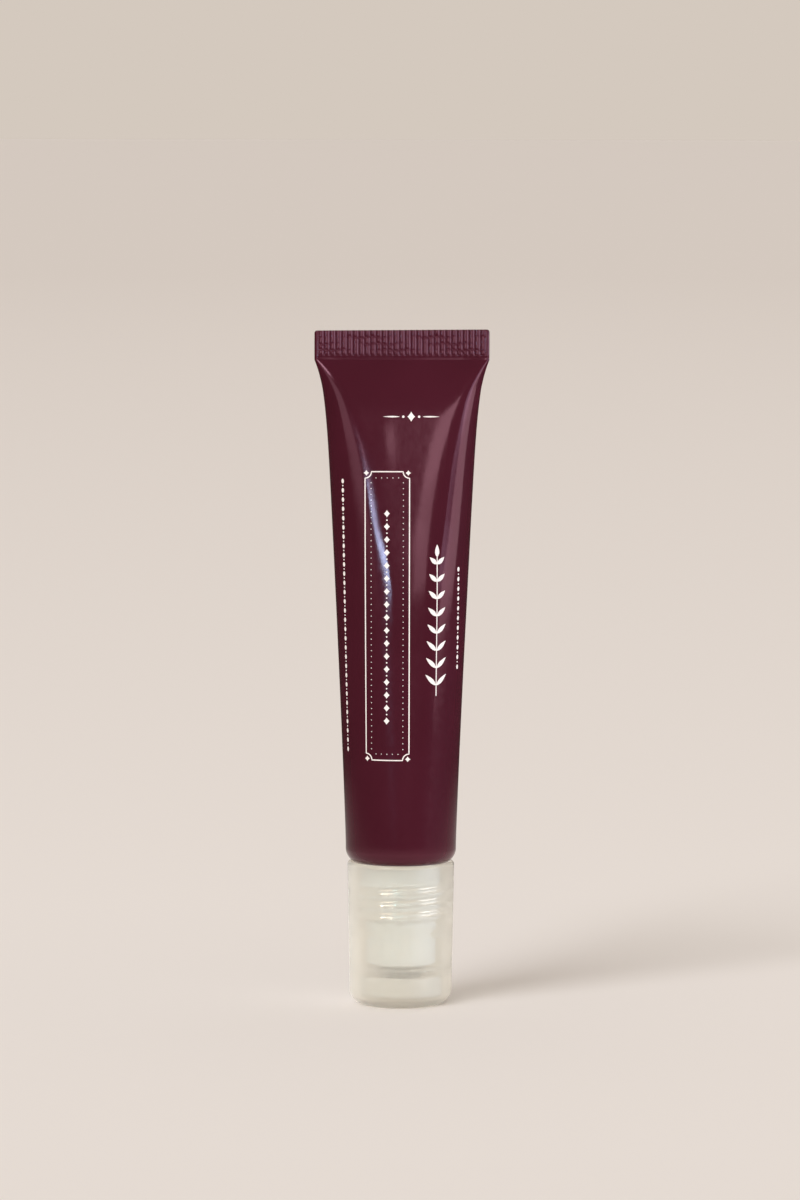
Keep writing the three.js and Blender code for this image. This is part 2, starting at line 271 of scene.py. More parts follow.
@dataclass(frozen=True)
class FrostedPolypropylene(Finish):
    """Natural polypropylene, injection-moulded in a spark-eroded mould.

    The plastic is milky and lets light through; the frosted skin blurs what is inside the cap. The grit of
    the mould is far finer than a pixel, so the grain is drawn coarser than the real 0.02 mm to show.
    """

    colour: str
    haze_colour: str
    lamp_colour: str = "#e6e6e4"
    transmission: float = 0.75
    glow: float = 0.42
    roughness: Span = (0.042, 0.078)
    ior: float = 1.49
    grain_size: float = 0.16
    grain_detail: float = 1.0
    grain_depth: float = 0.001
    flow_size: float = 6.0
    flow_stretch: float = 0.35

    def surface(self, tree: bpy.types.NodeTree) -> bpy.types.Node:
        """Add a milky see-through body under a fine frosted grain, with the glow of light from behind.

        Args:
            tree: The material's node tree.

        Returns:
            The plastic, with the light of lamps let through to what it covers.
        """
        place = add_node(tree, "ShaderNodeTexCoord").outputs["Object"]
        grain = add_node(
            tree,
            "ShaderNodeTexNoise",
            {"Vector": place, "Scale": per_metre(self.grain_size), "Detail": self.grain_detail},
        )
        drawn = add_node(
            tree, "ShaderNodeMapping", {"Vector": place, "Scale": Vector((1, 1, self.flow_stretch))}
        )
        flow = add_node(tree, "ShaderNodeTexNoise", {"Vector": drawn, "Scale": per_metre(self.flow_size)})
        share = add_node(tree, "ShaderNodeMapRange", {"Value": flow, **NOISE_MIDDLE})
        colours = {0: share, 6: linear(self.colour), 7: linear(self.haze_colour)}
        low, high = self.roughness
        gloss = {"Value": grain, **NOISE_MIDDLE, "To Min": low, "To Max": high}
        skin = {"Height": grain, "Distance": self.grain_depth * MM}
        body = add_node(
            tree,
            "ShaderNodeBsdfPrincipled",
            {
                "Base Color": add_node(tree, "ShaderNodeMix", colours, data_type="RGBA").outputs[2],
                "Roughness": add_node(tree, "ShaderNodeMapRange", gloss),
                "Normal": add_node(tree, "ShaderNodeBump", skin),
                "Transmission Weight": self.transmission,
                "IOR": self.ior,
            },
        )
        glow = add_node(tree, "ShaderNodeBsdfTranslucent", {"Color": linear(self.colour)})
        milky = add_node(tree, "ShaderNodeMixShader", {0: self.glow, 1: body, 2: glow})
        return lit_through(tree, milky, self.lamp_colour)


@dataclass(frozen=True)
class MouldedNatural(Finish):
    """Uncoloured plastic, injection-moulded against a plain polished mould.

    It looks milky white with a dull shine and faint flow clouds.
    """

    colour: str
    haze_colour: str
    lamp_colour: str = "#e6e4de"
    roughness: Span = (0.36, 0.46)
    ior: float = 1.5
    glow: float = 0.25
    glow_radius: float = 1.2
    glow_tint: tuple[float, float, float] = (1.0, 0.95, 0.85)
    flow_size: float = 3.0
    skin_size: float = 0.5
    skin_depth: float = 0.004

    def surface(self, tree: bpy.types.NodeTree) -> bpy.types.Node:
        """Add a milky colour with flow clouds and light that spreads under the skin.

        Args:
            tree: The material's node tree.

        Returns:
            The plastic, with part of the light of lamps let through.
        """
        place = add_node(tree, "ShaderNodeTexCoord").outputs["Object"]
        flow = add_node(tree, "ShaderNodeTexNoise", {"Vector": place, "Scale": per_metre(self.flow_size)})
        skin = add_node(tree, "ShaderNodeTexNoise", {"Vector": place, "Scale": per_metre(self.skin_size)})
        share = add_node(tree, "ShaderNodeMapRange", {"Value": flow, **NOISE_MIDDLE})
        colours = {0: share, 6: linear(self.colour), 7: linear(self.haze_colour)}
        low, high = self.roughness
        gloss = {"Value": skin, **NOISE_MIDDLE, "To Min": low, "To Max": high}
        dimples = {"Height": skin, "Distance": self.skin_depth * MM}
        body = add_node(
            tree,
            "ShaderNodeBsdfPrincipled",
            {
                "Base Color": add_node(tree, "ShaderNodeMix", colours, data_type="RGBA").outputs[2],
                "Roughness": add_node(tree, "ShaderNodeMapRange", gloss),
                "Normal": add_node(tree, "ShaderNodeBump", dimples),
                "Subsurface Weight": self.glow,
                "Subsurface Radius": self.glow_tint,
                "Subsurface Scale": self.glow_radius * MM,
                "IOR": self.ior,
            },
        )
        return lit_through(tree, body, self.lamp_colour)


@dataclass(frozen=True)
class LappedSteel(Finish):
    """Stainless bearing steel, ground and lapped to a mirror.

    It reflects sharply, with hair-fine lapping marks that only dull the reflection a little.
    """

    colour: str
    roughness: Span = (0.07, 0.15)
    mark_size: float = 0.35
    mark_stretch: float = 0.08
    mark_detail: float = 3.0

    def surface(self, tree: bpy.types.NodeTree) -> bpy.types.Node:
        """Add bright metal with lapping marks in its gloss.

        Args:
            tree: The material's node tree.

        Returns:
            The steel.
        """
        place = add_node(tree, "ShaderNodeTexCoord").outputs["Object"]
        drawn = add_node(
            tree, "ShaderNodeMapping", {"Vector": place, "Scale": Vector((1, self.mark_stretch, 1))}
        )
        marks = add_node(
            tree,
            "ShaderNodeTexNoise",
            {"Vector": drawn, "Scale": per_metre(self.mark_size), "Detail": self.mark_detail},
        )
        low, high = self.roughness
        gloss = {"Value": marks, **NOISE_MIDDLE, "To Min": low, "To Max": high}
        return add_node(
            tree,
            "ShaderNodeBsdfPrincipled",
            {
                "Base Color": linear(self.colour),
                "Roughness": add_node(tree, "ShaderNodeMapRange", gloss),
                "Metallic": 1.0,
            },
        )


@dataclass(frozen=True)
class FoamedPolyethylene(Finish):
    """Closed-cell polyethylene foam, die-cut from sheet.

    The cut cells give a soft matte surface of tiny pits.
    """

    colour: str
    shade_colour: str
    roughness: float = 0.85
    cell_size: float = 0.3
    cell_depth: float = 0.05

    def surface(self, tree: bpy.types.NodeTree) -> bpy.types.Node:
        """Add pitted matte foam, painted a little darker in the pits as painted shade.

        Args:
            tree: The material's node tree.

        Returns:
            The foam.
        """
        place = add_node(tree, "ShaderNodeTexCoord").outputs["Object"]
        cells = add_node(tree, "ShaderNodeTexVoronoi", {"Vector": place, "Scale": per_metre(self.cell_size)})
        # Painted shade: the pits' low centres take the darker shade colour and the cell rims the lighter one.
        colours = {0: cells, 6: linear(self.shade_colour), 7: linear(self.colour)}
        pits = {"Height": cells, "Distance": self.cell_depth * MM}
        return add_node(
            tree,
            "ShaderNodeBsdfPrincipled",
            {
                "Base Color": add_node(tree, "ShaderNodeMix", colours, data_type="RGBA").outputs[2],
                "Roughness": self.roughness,
                "Normal": add_node(tree, "ShaderNodeBump", pits),
            },
        )


@dataclass(frozen=True)
class ClearOil(Finish):
    """Cold-pressed plant oil: clear amber, a little darker where it is thick."""

    colour: str
    deep_colour: str
    transmission: float = 0.9
    ior: float = 1.47
    roughness: float = 0.02
    swirl_size: float = 10.0

    def surface(self, tree: bpy.types.NodeTree) -> bpy.types.Node:
        """Add a clear liquid with faint swirls of colour.

        Args:
            tree: The material's node tree.

        Returns:
            The oil.
        """
        place = add_node(tree, "ShaderNodeTexCoord").outputs["Object"]
        swirl = add_node(tree, "ShaderNodeTexNoise", {"Vector": place, "Scale": per_metre(self.swirl_size)})
        share = add_node(tree, "ShaderNodeMapRange", {"Value": swirl, **NOISE_MIDDLE})
        colours = {0: share, 6: linear(self.colour), 7: linear(self.deep_colour)}
        return add_node(
            tree,
            "ShaderNodeBsdfPrincipled",
            {
                "Base Color": add_node(tree, "ShaderNodeMix", colours, data_type="RGBA").outputs[2],
                "Transmission Weight": self.transmission,
                "Roughness": self.roughness,
                "IOR": self.ior,
            },
        )


@dataclass(frozen=True)
class ScreenInk(Finish):
    """Opaque pale ink, screen-printed and cured.

    It is flatter than the lacquered sleeve around it, with the faint unevenness of the mesh.
    """

    colour: str
    thin_colour: str
    roughness: float = 0.5
    mesh_size: float = 0.25
    mesh_depth: float = 0.003

    def surface(self, tree: bpy.types.NodeTree) -> bpy.types.Node:
        """Add a flat ink, thinner in places.

        Args:
            tree: The material's node tree.

        Returns:
            The ink.
        """
        place = add_node(tree, "ShaderNodeTexCoord").outputs["Object"]
        mesh = add_node(tree, "ShaderNodeTexNoise", {"Vector": place, "Scale": per_metre(self.mesh_size)})
        share = add_node(tree, "ShaderNodeMapRange", {"Value": mesh, **NOISE_MIDDLE})
        colours = {0: share, 6: linear(self.colour), 7: linear(self.thin_colour)}
        marks = {"Height": mesh, "Distance": self.mesh_depth * MM}
        return add_node(
            tree,
            "ShaderNodeBsdfPrincipled",
            {
                "Base Color": add_node(tree, "ShaderNodeMix", colours, data_type="RGBA").outputs[2],
                "Roughness": self.roughness,
                "Normal": add_node(tree, "ShaderNodeBump", marks),
            },
        )


@dataclass(frozen=True)
class BackdropPaper(Finish):
    """Matte beige background paper, painted brighter near the object and a little darker far from it: a
    painted pool of lamp light.

    The camera sees it all round. What the object mirrors from beside and in front of the strip of paper it
    stands on is the dim room instead. Distances from the object are metres.
    """

    colour: str
    far_colour: str
    room_colour: str
    near: float = 0.15
    far: float = 5.0
    painted_light_falloff: float = 0.35
    edge: float = 0.1
    room: float = 0.32
    roughness: float = 0.9
    specular: float = 0.1
    fibre_size: float = 2.5
    fibre_depth: float = 0.004

    def surface(self, tree: bpy.types.NodeTree) -> bpy.types.Node:
        """Add paper whose colour falls off with the distance from the object, as painted light: brighter near
        it and darker far away.

        Args:
            tree: The material's node tree.

        Returns:
            The paper, or the dim room where the object mirrors what is beside the strip.
        """
        place = add_node(tree, "ShaderNodeTexCoord").outputs["Object"]
        distance = add_node(tree, "ShaderNodeVectorMath", {0: place}, operation="LENGTH").outputs["Value"]
        # Painted light: the colour goes from the bright near colour to the darker far one with distance, a
        # pool of lamp light painted on the paper.
        power = add_node(tree, "ShaderNodeMath", {0: distance, 1: self.painted_light_falloff}, operation="POWER")
        ends = {"From Min": self.near**self.painted_light_falloff, "From Max": self.far**self.painted_light_falloff}
        share = add_node(tree, "ShaderNodeMapRange", {"Value": power, **ends})
        colours = {0: share, 6: linear(self.colour), 7: linear(self.far_colour)}
        fibre = add_node(tree, "ShaderNodeTexNoise", {"Vector": place, "Scale": per_metre(self.fibre_size)})
        felt = {"Height": fibre, "Distance": self.fibre_depth * MM}
        paper = add_node(
            tree,
            "ShaderNodeBsdfPrincipled",
            {
                "Base Color": add_node(tree, "ShaderNodeMix", colours, data_type="RGBA").outputs[2],
                "Roughness": self.roughness,
                "Normal": add_node(tree, "ShaderNodeBump", felt),
                "Specular IOR Level": self.specular,
            },
        )
        strip = {"Value": distance, "From Min": self.edge, "From Max": self.room}
        beside = add_node(tree, "ShaderNodeMapRange", strip)
        unseen = add_node(tree, "ShaderNodeMath", {0: beside, 1: mirrored_ray(tree)}, operation="MULTIPLY")
        room = add_node(tree, "ShaderNodeBsdfDiffuse", {"Color": linear(self.room_colour)})
        return add_node(tree, "ShaderNodeMixShader", {0: unseen, 1: paper, 2: room})


BURGUNDY_SLEEVE = ExtrudedPolyethylene("extruded_burgundy_polyethylene", "#421621", "#3e141e", "#ffbcce")
NATURAL_HEAD = MouldedNatural("moulded_natural_polyethylene", "#e9e6dc", "#e2ded2")
NATURAL_HOUSING = MouldedNatural(
    "moulded_natural_polypropylene", "#cbcdcd", "#c7c8c8", roughness=(0.11, 0.21)
)
FROSTED_CAP = FrostedPolypropylene("frosted_natural_polypropylene", "#e8e1d4", "#e5ded1")
POLISHED_BORE = FrostedPolypropylene(
    "polished_natural_polypropylene",
    "#f6f6f4",
    "#f4f4f1",
    lamp_colour="#fbfbfa",
    transmission=1.0,
    glow=0.0,
    roughness=(0.035, 0.065),
)
STEEL_BALL = LappedSteel("lapped_stainless_steel", "#c6c7c5")
FOAM_PAD = FoamedPolyethylene("die_cut_polyethylene_foam", "#c1bdb9", "#b7b3af")
AMBER_OIL = ClearOil("clear_amber_oil", "#dcae57", "#cf9a3c")
PALE_INK = ScreenInk("screen_printed_pale_ink", "#efe4de", "#e3d5cf")
# The paper's bright near colour and darker far colour are painted light, a pool of light round the object;
# the last colour is the dim room's.
BEIGE_PAPER = BackdropPaper("matte_beige_paper", "#f2ece8", "#e2dad4", "#3a3633")


class MeshDraft:
    """Vertices and faces of one piece, gathered ring by ring in millimetres."""

    def __init__(self) -> None:
        """Start with nothing."""
        self.points: list[np.ndarray] = []
        self.faces: list[tuple[int, ...]] = []
        self.linings: list[bool] = []
        self.lining = False
        self.total = 0

    def ring(self, points: np.ndarray) -> range:
        """Add points.

        Args:
            points: Rows of X, Y and Z.

        Returns:
            Their numbers in the mesh.
        """
        start = self.total
        self.points.append(np.asarray(points, dtype=float))
        self.total += len(points)
        return range(start, self.total)

    def face(self, *corners: int) -> None:
        """Add a face, leaving out corners that repeat.

        Args:
            corners: Numbers of its points, in order.
        """
        kept = tuple(dict.fromkeys(corners))
        if len(kept) > 2:
            self.faces.append(kept)
            self.linings.append(self.lining)

    def bridge(self, low: range, high: range) -> None:
        """Join two closed rings.

        Args:
            low: First ring; one point makes a fan.
            high: Second ring, with as many points, a whole multiple of them, or one.
        """
        if len(high) == 1 or len(low) == 1:
            rim, tip = (low, high[0]) if len(high) == 1 else (high, low[0])
            for i in range(len(rim)):
                self.face(rim[i], rim[(i + 1) % len(rim)], tip)
            return
        step = len(high) // len(low)
        middle = step // 2
        for i in range(len(low)):
            a, b = low[i], low[(i + 1) % len(low)]
            for k in range(step):
                c = high[i * step + k]
                d = high[(i * step + k + 1) % len(high)]
                if k == middle:
                    self.face(a, b, d, c)
                else:
                    self.face(a if k < middle else b, d, c)

    def zip_up(self, ring: range) -> None:
        """Close a ring whose back half mirrors its front half, as the two lips of a flat seal.

        Args:
            ring: The ring, from the middle of its front.
        """
        count = len(ring)
        for i in range(-(count // 4), count // 4):
            back = count // 2 - i
            self.face(ring[i], ring[i + 1], ring[(back - 1) % count], ring[back % count])

    def piece(
        self, name: str, finish: Finish, sharp_degrees: float = 40.0, lining: Optional[Finish] = None
    ) -> bpy.types.Object:
        """Turn the draft into an object of the scene.

        Args:
            name: The piece's name.
            finish: Its material.
            sharp_degrees: Edges bent more than this stay sharp.
            lining: Material of the faces that were added as lining.

        Returns:
            The new object.
        """
        mesh = bpy.data.meshes.new(name)
        mesh.from_pydata((np.vstack(self.points) * MM).tolist(), [], self.faces)
        work = bmesh.new()
        work.from_mesh(mesh)
        bmesh.ops.recalc_face_normals(work, faces=work.faces)
        work.to_mesh(mesh)
        work.free()
        mesh.shade_smooth()
        mesh.set_sharp_from_angle(angle=math.radians(sharp_degrees))
        mesh.materials.append(finish.material())
        if lining is not None:
            mesh.materials.append(lining.material())
            mesh.polygons.foreach_set("material_index", [int(inside) for inside in self.linings])
        piece = bpy.data.objects.new(name, mesh)
        bpy.context.scene.collection.objects.link(piece)
        return piece


def settle(piece: bpy.types.Object, body: Body, slot: str, *nodes: str) -> bpy.types.Object:
    """Put a piece on its body, in place of the nodes it stands for.

    Args:
        piece: The finished piece.
        body: Body that carries it.
        slot: The record's material slot; not used.
        nodes: CAD nodes that it replaces.

    Returns:
        The same piece.
    """
    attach(piece, body.value)
    if nodes:
        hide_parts(*nodes)
    LOG.info("%s: %d faces, rides on %s", piece.name, len(piece.data.polygons), body.value)
    return piece


def dress_node(node: str, finish: Finish) -> None:
    """Give a CAD node that stays as it is its finish.

    Args:
        node: Name of the node.
        finish: Its material.
    """
    shown = frame["nodes"][node]
    shown.data.materials.clear()
    shown.data.materials.append(finish.material())
    LOG.info("%s: CAD solid, %s", node, finish.name)


def arc(centre: Point, radius: float, start: float, end: float, steps: int = 8) -> list[Point]:
    """Points on an arc in the profile plane.

    Args:
        centre: Radius and height of its centre.
        radius: Its radius.
        start: First angle, in degrees.
        end: Last angle, in degrees.
        steps: Number of chords.

    Returns:
        Points from start to end, both included.
    """
    angles = np.radians(np.linspace(start, end, steps + 1))
    return [(centre[0] + radius * math.cos(t), centre[1] + radius * math.sin(t)) for t in angles]


def upright(radius: float, low: float, high: float, step: float) -> list[Point]:
    """Points up or down a straight wall, close enough to carry a thread.

    Args:
        radius: The wall's radius.
        low: First height.
        high: Last height.
        step: Largest distance between points.

    Returns:
        Points from low to high, both included.
    """
    count = max(1, math.ceil(abs(high - low) / step))
    return [(radius, z) for z in np.linspace(low, high, count + 1)]


@dataclass(frozen=True)
class Thread:
    """A right-hand thread ridge with a chamfered crest, on a wall."""

    wall: float
    outward: int
    low: float
    turns: float
    pitch: float = 2.0
    depth: float = 0.85
    base: float = 1.2
    chamfer: float = 0.45
    toe: float = 0.05
    fade: float = 0.16

    def height(self, angle: np.ndarray, z: float) -> np.ndarray:
        """Find how far the ridge stands out of its wall.

        Args:
            angle: Places round the axis, in radians.
            z: Their height.

        Returns:
            Distance away from the axis at each place, negative towards it.
        """
        turn = angle / (2 * math.pi)
        along = (z - self.low) / self.pitch - turn
        nearest = np.round(along)
        position = nearest + turn
        aside = np.abs(along - nearest) * self.pitch
        shoulder = self.base / 2 - self.toe
        rise = np.interp(
            aside,
            [shoulder - self.chamfer, shoulder, self.base / 2],
            [self.depth, self.depth - self.chamfer, 0.0],
        )
        ends = np.clip(np.minimum(position, self.turns - position) / self.fade, 0, 1)
        return self.outward * rise * ends


def soft_ramp(share: float) -> float:
    """Round off both ends of a ramp from 0 to 1."""
    return share * share * (3 - 2 * share)


def turned(
    profile: Sequence[Point],
    segments: int,
    thread: Optional[Thread] = None,
    lining_from: Optional[int] = None,
) -> MeshDraft:
    """Turn a profile round the Z axis.

    Args:
        profile: Radius and height of each point. It starts and ends on the axis or closes on itself.
        segments: Facets round a full turn.
        thread: Ridge to raise on the points that lie on its wall.
        lining_from: Point of the profile from which the faces are lining.

    Returns:
        The turned mesh.
    """
    draft = MeshDraft()
    angle = np.arange(segments) * 2 * math.pi / segments
    rings = []
    for radius, z in profile:
        if radius < SAME_RADIUS:
            rings.append(draft.ring(np.array([[0.0, 0.0, z]])))
            continue
        radii = np.full(segments, radius)
        if thread and abs(radius - thread.wall) < SAME_RADIUS:
            radii = radii + thread.height(angle, z)
        heights = np.full(segments, z)
        rings.append(draft.ring(np.stack([radii * np.cos(angle), radii * np.sin(angle), heights], axis=1)))
    pairs = list(zip(rings, rings[1:]))
    if profile[0][0] > SAME_RADIUS:
        pairs.append((rings[-1], rings[0]))
    for number, (low, high) in enumerate(pairs):
        draft.lining = lining_from is not None and number >= lining_from
        draft.bridge(low, high)
    return draft


@dataclass(frozen=True)
class Crease:
    """A soft fold in the sleeve's skin, along a path of girth, height and strength from high to low."""

    path: tuple[tuple[float, float, float], ...]
    left_width: float
    right_width: float
    rise: float
    ease: float = 1.5
    ease_reach: float = 3.0
    samples: int = 240

    def push(self, girth: np.ndarray, z: np.ndarray) -> np.ndarray:
        """Find how far the skin moves outwards.

        Args:
            girth: Places round the sleeve, from the middle of its front.
            z: Their heights.

        Returns:
            The distance at each place.
        """
        girths, heights, strengths = np.array(self.path[::-1]).T
        aside = girth - self.along(z, heights, girths)
        width = np.where(aside > 0, self.right_width, self.left_width)
        return self.rise * self.along(z, heights, strengths) * np.exp(-((aside / width) ** 2))

    def along(self, z: np.ndarray, heights: np.ndarray, values: np.ndarray) -> np.ndarray:
        """Follow the path, with its corners rounded off.

        Args:
            z: Heights that are asked for.
            heights: Heights of the path's points, from low to high.
            values: Their girths or strengths.

        Returns:
            The girth or strength at each height.
        """
        margin = self.ease_reach * self.ease
        fine = np.linspace(heights[0] - margin, heights[-1] + margin, self.samples)
        spread = np.exp(-0.5 * ((fine[:, None] - fine) / self.ease) ** 2)
        return np.interp(z, fine, spread @ np.interp(fine, heights, values) / spread.sum(axis=1))


@dataclass(frozen=True)
class Ripple:
    """A slow wave along the seal that differs from one row of broken ribs to the next."""

    mean: float
    swing: float
    per_mm: float
    per_row: float
    start: float = 0.0

    def at(self, x: np.ndarray, row: int) -> np.ndarray:
        """Return the wave at places along the seal, for one row."""
        return self.mean + self.swing * np.sin(self.per_mm * x + self.per_row * row + self.start)


@dataclass
class TubeSleeve:
    """The burgundy sleeve: a round tube pressed flat into a ribbed seal."""

    diameter: float = 19.0
    wall: float = 0.5
    foot: float = 24.35
    foot_radius: float = 2.6
    round_top: float = 27.75
    seam: float = 110.1
    seal: float = 110.7
    crimp: float = 111.45
    cut: float = 115.8
    cut_slant: float = 0.008
    cut_corner: float = 0.45
    taper_share: float = 0.72
    taper_power: float = 1.15
    flare_power: float = 16.0
    fullness: float = 0.7
    fullness_power: float = 4.0
    oval_gain: float = 0.85
    oval_power: float = 1.5
    skin_ease: float = 0.8
    skin_ease_share: float = 0.3
    rib_pitch: float = 0.988
    rib_wave: float = 0.1
    rib_turn: float = 0.95
    rib_groove: float = 0.2
    rib_margin: float = 0.6
    rib_fade: float = 0.25
    rib_start: float = 0.2
    rib_start_rows: tuple[float, ...] = (0.1, 0.2, 0.45)
    break_heights: tuple[float, ...] = (0.95, 2.0, 3.15)
    break_width: float = 0.16
    break_reach: float = 0.36
    break_level: Ripple = Ripple(mean=0.0, swing=0.12, per_mm=1.7, per_row=2.1)
    break_patch: Ripple = Ripple(mean=0.45, swing=0.35, per_mm=0.55, per_row=1.3, start=2.2)
    seal_bead: float = 0.05
    seal_bead_width: float = 0.12
    band_start: float = 0.05
    band_tuck: float = 0.06
    seal_lean: float = 0.065
    columns: int = 360
    seal_columns: int = 1080
    body_rows: int = 108
    inner_rows: int = 20
    row_crowding: float = 1.35
    foot_steps: int = 12
    band_rows: int = 6
    break_rows: int = 7
    corner_rows: int = 7
    creases: tuple[Crease, ...] = (
        Crease(
            (
                (-3.6, 88.0, 0.0),
                (-3.1, 83.7, 0.05),
                (-2.3, 80.3, 0.44),
                (-1.7, 76.9, 0.69),
                (-1.2, 73.5, 0.91),
                (-1.0, 70.6, 1.0),
                (-0.95, 66.7, 0.8),
                (-0.8, 60.0, 0.0),
            ),
            left_width=2.0,
            right_width=9.0,
            rise=0.224,
        ),
        Crease(
            ((-3.2, 101.5, 0.0), (-3.1, 98.0, 1.0), (-2.9, 94.0, 0.6), (-2.8, 91.0, 0.0)),
            left_width=1.6,
            right_width=1.6,
            rise=0.05,
        ),
        Crease(
            ((-14.2, 110.4, 0.5), (-12, 108.4, 1), (-10.5, 104.5, 0.9), (-9.8, 99.5, 0.6), (-9.2, 94, 0)),
            left_width=1.6,
            right_width=2.2,
            rise=0.1,
        ),
        Crease(
            ((14.2, 110.2, 0.8), (12.2, 107.2, 1), (10.6, 104.4, 0.8), (10.2, 99, 0.5), (10, 88, 0)),
            left_width=2.0,
            right_width=0.9,
            rise=0.08,
        ),
        Crease(
            ((8.4, 101, 0), (7.9, 96, 1), (6.9, 88, 1), (5.9, 80, 0.8), (5.2, 72, 0)),
            left_width=0.3,
            right_width=0.3,
            rise=0.012,
        ),
        Crease(
            ((5.4, 82, 0), (5.4, 73, 0.8), (5.2, 62, 1), (5, 50, 0.8), (4.6, 38, 0)),
            left_width=2.4,
            right_width=2.4,
            rise=0.14,
        ),
        Crease(
            ((9.2, 100, 0), (8.7, 95, 1), (7.8, 87, 1), (6.8, 79, 0.8), (6, 70, 0)),
            left_width=0.25,
            right_width=0.4,
            rise=0.014,
        ),
    )

    def __post_init__(self) -> None:
        """Work out the girth and the seal's half width."""
        self.radius = self.diameter / 2
        self.girth = math.pi * self.diameter
        self.seal_half = self.girth / 4

    def outline(self, z: float, depth: float, count: int) -> np.ndarray:
        """Section of the sleeve at a height.

        Args:
            z: Height.
            depth: Distance inside the outer skin.
            count: Number of points.

        Returns:
            X and Y of points spread evenly round the section, from the middle of the front towards +X.
        """
        share = min(max((z - self.round_top) / (self.seal - self.round_top), 0.0), 1.0)
        taper = self.taper_share * share**self.taper_power + (1 - self.taper_share) * share**self.flare_power
        half = self.radius + (self.seal_half - self.radius) * taper
        roundness = (self.seal_half - half) / (self.seal_half - self.radius)
        flat_half = self.wall + (self.radius - self.wall) * roundness
        gain = self.oval_gain * (1 - flat_half / self.radius) ** self.oval_power
        oval_half = flat_half + (flat_half - self.wall) * gain
        full = self.fullness * (1 - share**self.fullness_power)
        angle = (np.arange(count) + 0.5) * 2 * math.pi / count - math.pi / 2
        across, through = np.cos(angle), np.sin(angle)
        flat_x = np.sign(across) * (half - flat_half) + across * (flat_half - depth)
        x = flat_x + (across * (half - depth) - flat_x) * full
        thick = flat_half + (oval_half - flat_half) * full - depth
        section = self.even(np.stack([x, through * thick], axis=1))
        return self.eased(section, min(self.skin_ease, self.skin_ease_share * thick))

    @staticmethod
    def even(section: np.ndarray) -> np.ndarray:
        """Spread a closed section's points evenly along it.

        Args:
            section: X and Y of its points.

        Returns:
            As many points, from the middle of the front.
        """
        front = np.array([[0.0, (section[0, 1] + section[-1, 1]) / 2]])
        closed = np.vstack([front, section, front])
        steps = np.hypot(*np.diff(closed, axis=0).T)
        length = np.concatenate([[0.0], np.cumsum(steps)])
        wanted = np.arange(len(section)) / len(section) * length[-1]
        return np.stack([np.interp(wanted, length, closed[:, k]) for k in (0, 1)], axis=1)

    def eased(self, section: np.ndarray, radius: float) -> np.ndarray:
        """Ease the bends of a closed section, as springy film does.

        Args:
            section: X and Y of its points, evenly spread.
            radius: Distance over which a bend is eased.

        Returns:
            The eased points.
        """
        waves = np.fft.rfft(section, axis=0)
        order = np.arange(len(waves))[:, None]
        blur = np.exp(-0.5 * (2 * math.pi * order * radius / self.girth) ** 2)
        return np.fft.irfft(waves * blur, n=len(section), axis=0)

    def skin(self, heights: np.ndarray, count: int, depth: float = 0.0) -> np.ndarray:
        """Rings of the sleeve's skin.

        Args:
            heights: Height of each ring.
            count: Points in a ring.
            depth: Distance inside the outer skin.

        Returns:
            Points as rings by points by X, Y and Z.
        """
        points = np.zeros((len(heights), count, 3))
        for row, z in enumerate(heights):
            points[row, :, :2] = self.outline(z, depth, count)
        points[..., 2] = heights[:, None]
        girth = (np.arange(count) / count * self.girth)[None, :]
        girth = np.where(girth > self.girth / 2, girth - self.girth, girth)
        push = np.zeros(points.shape[:2])
        for crease in self.creases if depth < self.wall else ():
            push += crease.push(girth, points[..., 2])
        return points + self.outward(points) * push[..., None]

    @staticmethod
    def outward(points: np.ndarray) -> np.ndarray:
        """Find which way is out of the skin.

        Args:
            points: Rings by points by X, Y and Z.

        Returns:
            A level unit vector for each point.
        """
        along = np.roll(points, -1, axis=1) - np.roll(points, 1, axis=1)
        out = np.stack([along[..., 1], -along[..., 0], np.zeros(along.shape[:2])], axis=2)
        return out / np.maximum(np.linalg.norm(out, axis=2, keepdims=True), NO_LENGTH)

    def body_heights(self, low: float, high: float, count: int) -> np.ndarray:
        """Return heights that crowd towards the upper one, where the sleeve flares."""
        return low + (high - low) * (1 - (1 - np.linspace(0, 1, count)) ** self.row_crowding)

    def foot_rings(self, radius: float) -> list[np.ndarray]:
        """Rings of the turned-in foot, from its edge to the straight wall.

        Args:
            radius: Radius of the turned corner: the outer skin's or the inner one's.

        Returns:
            One ring per step of the corner.
        """
        depth = self.foot_radius - radius
        rings = []
        for angle in np.radians(np.linspace(0, 90, self.foot_steps + 1)[:-1]):
            z = self.foot + self.foot_radius - radius * math.cos(angle)
            rings.append(self.skin(np.array([z]), self.columns, depth + radius * (1 - math.sin(angle)))[0])
        return rings

    def rib(self, x: np.ndarray, rise: np.ndarray) -> np.ndarray:
        """How far the seal's ribs carry both faces to the front.

        Args:
            x: Place along the seal.
            rise: Height above the ribs' lower end.

        Returns:
            Distance towards -Y.
        """
        place = np.mod(x / self.rib_pitch + 0.5, 1.0) - 0.5
        groove = np.exp(-(((np.abs(place) - 0.5) / self.rib_groove) ** 2))
        wave = 1 - 2 * groove - self.rib_turn * place * (1 - groove)
        strength = np.clip((self.seal_half - self.rib_margin - np.abs(x)) / self.rib_fade, 0, 1)
        strength = strength * np.clip(rise / self.rib_start, 0, 1)
        for order, height in enumerate(self.break_heights):
            level = height + self.break_level.at(x, order)
            patch = self.break_patch.at(x, order)
            strength = strength * (1 - patch * np.exp(-(((rise - level) / self.break_width) ** 2)))
        return self.rib_wave * wave * strength

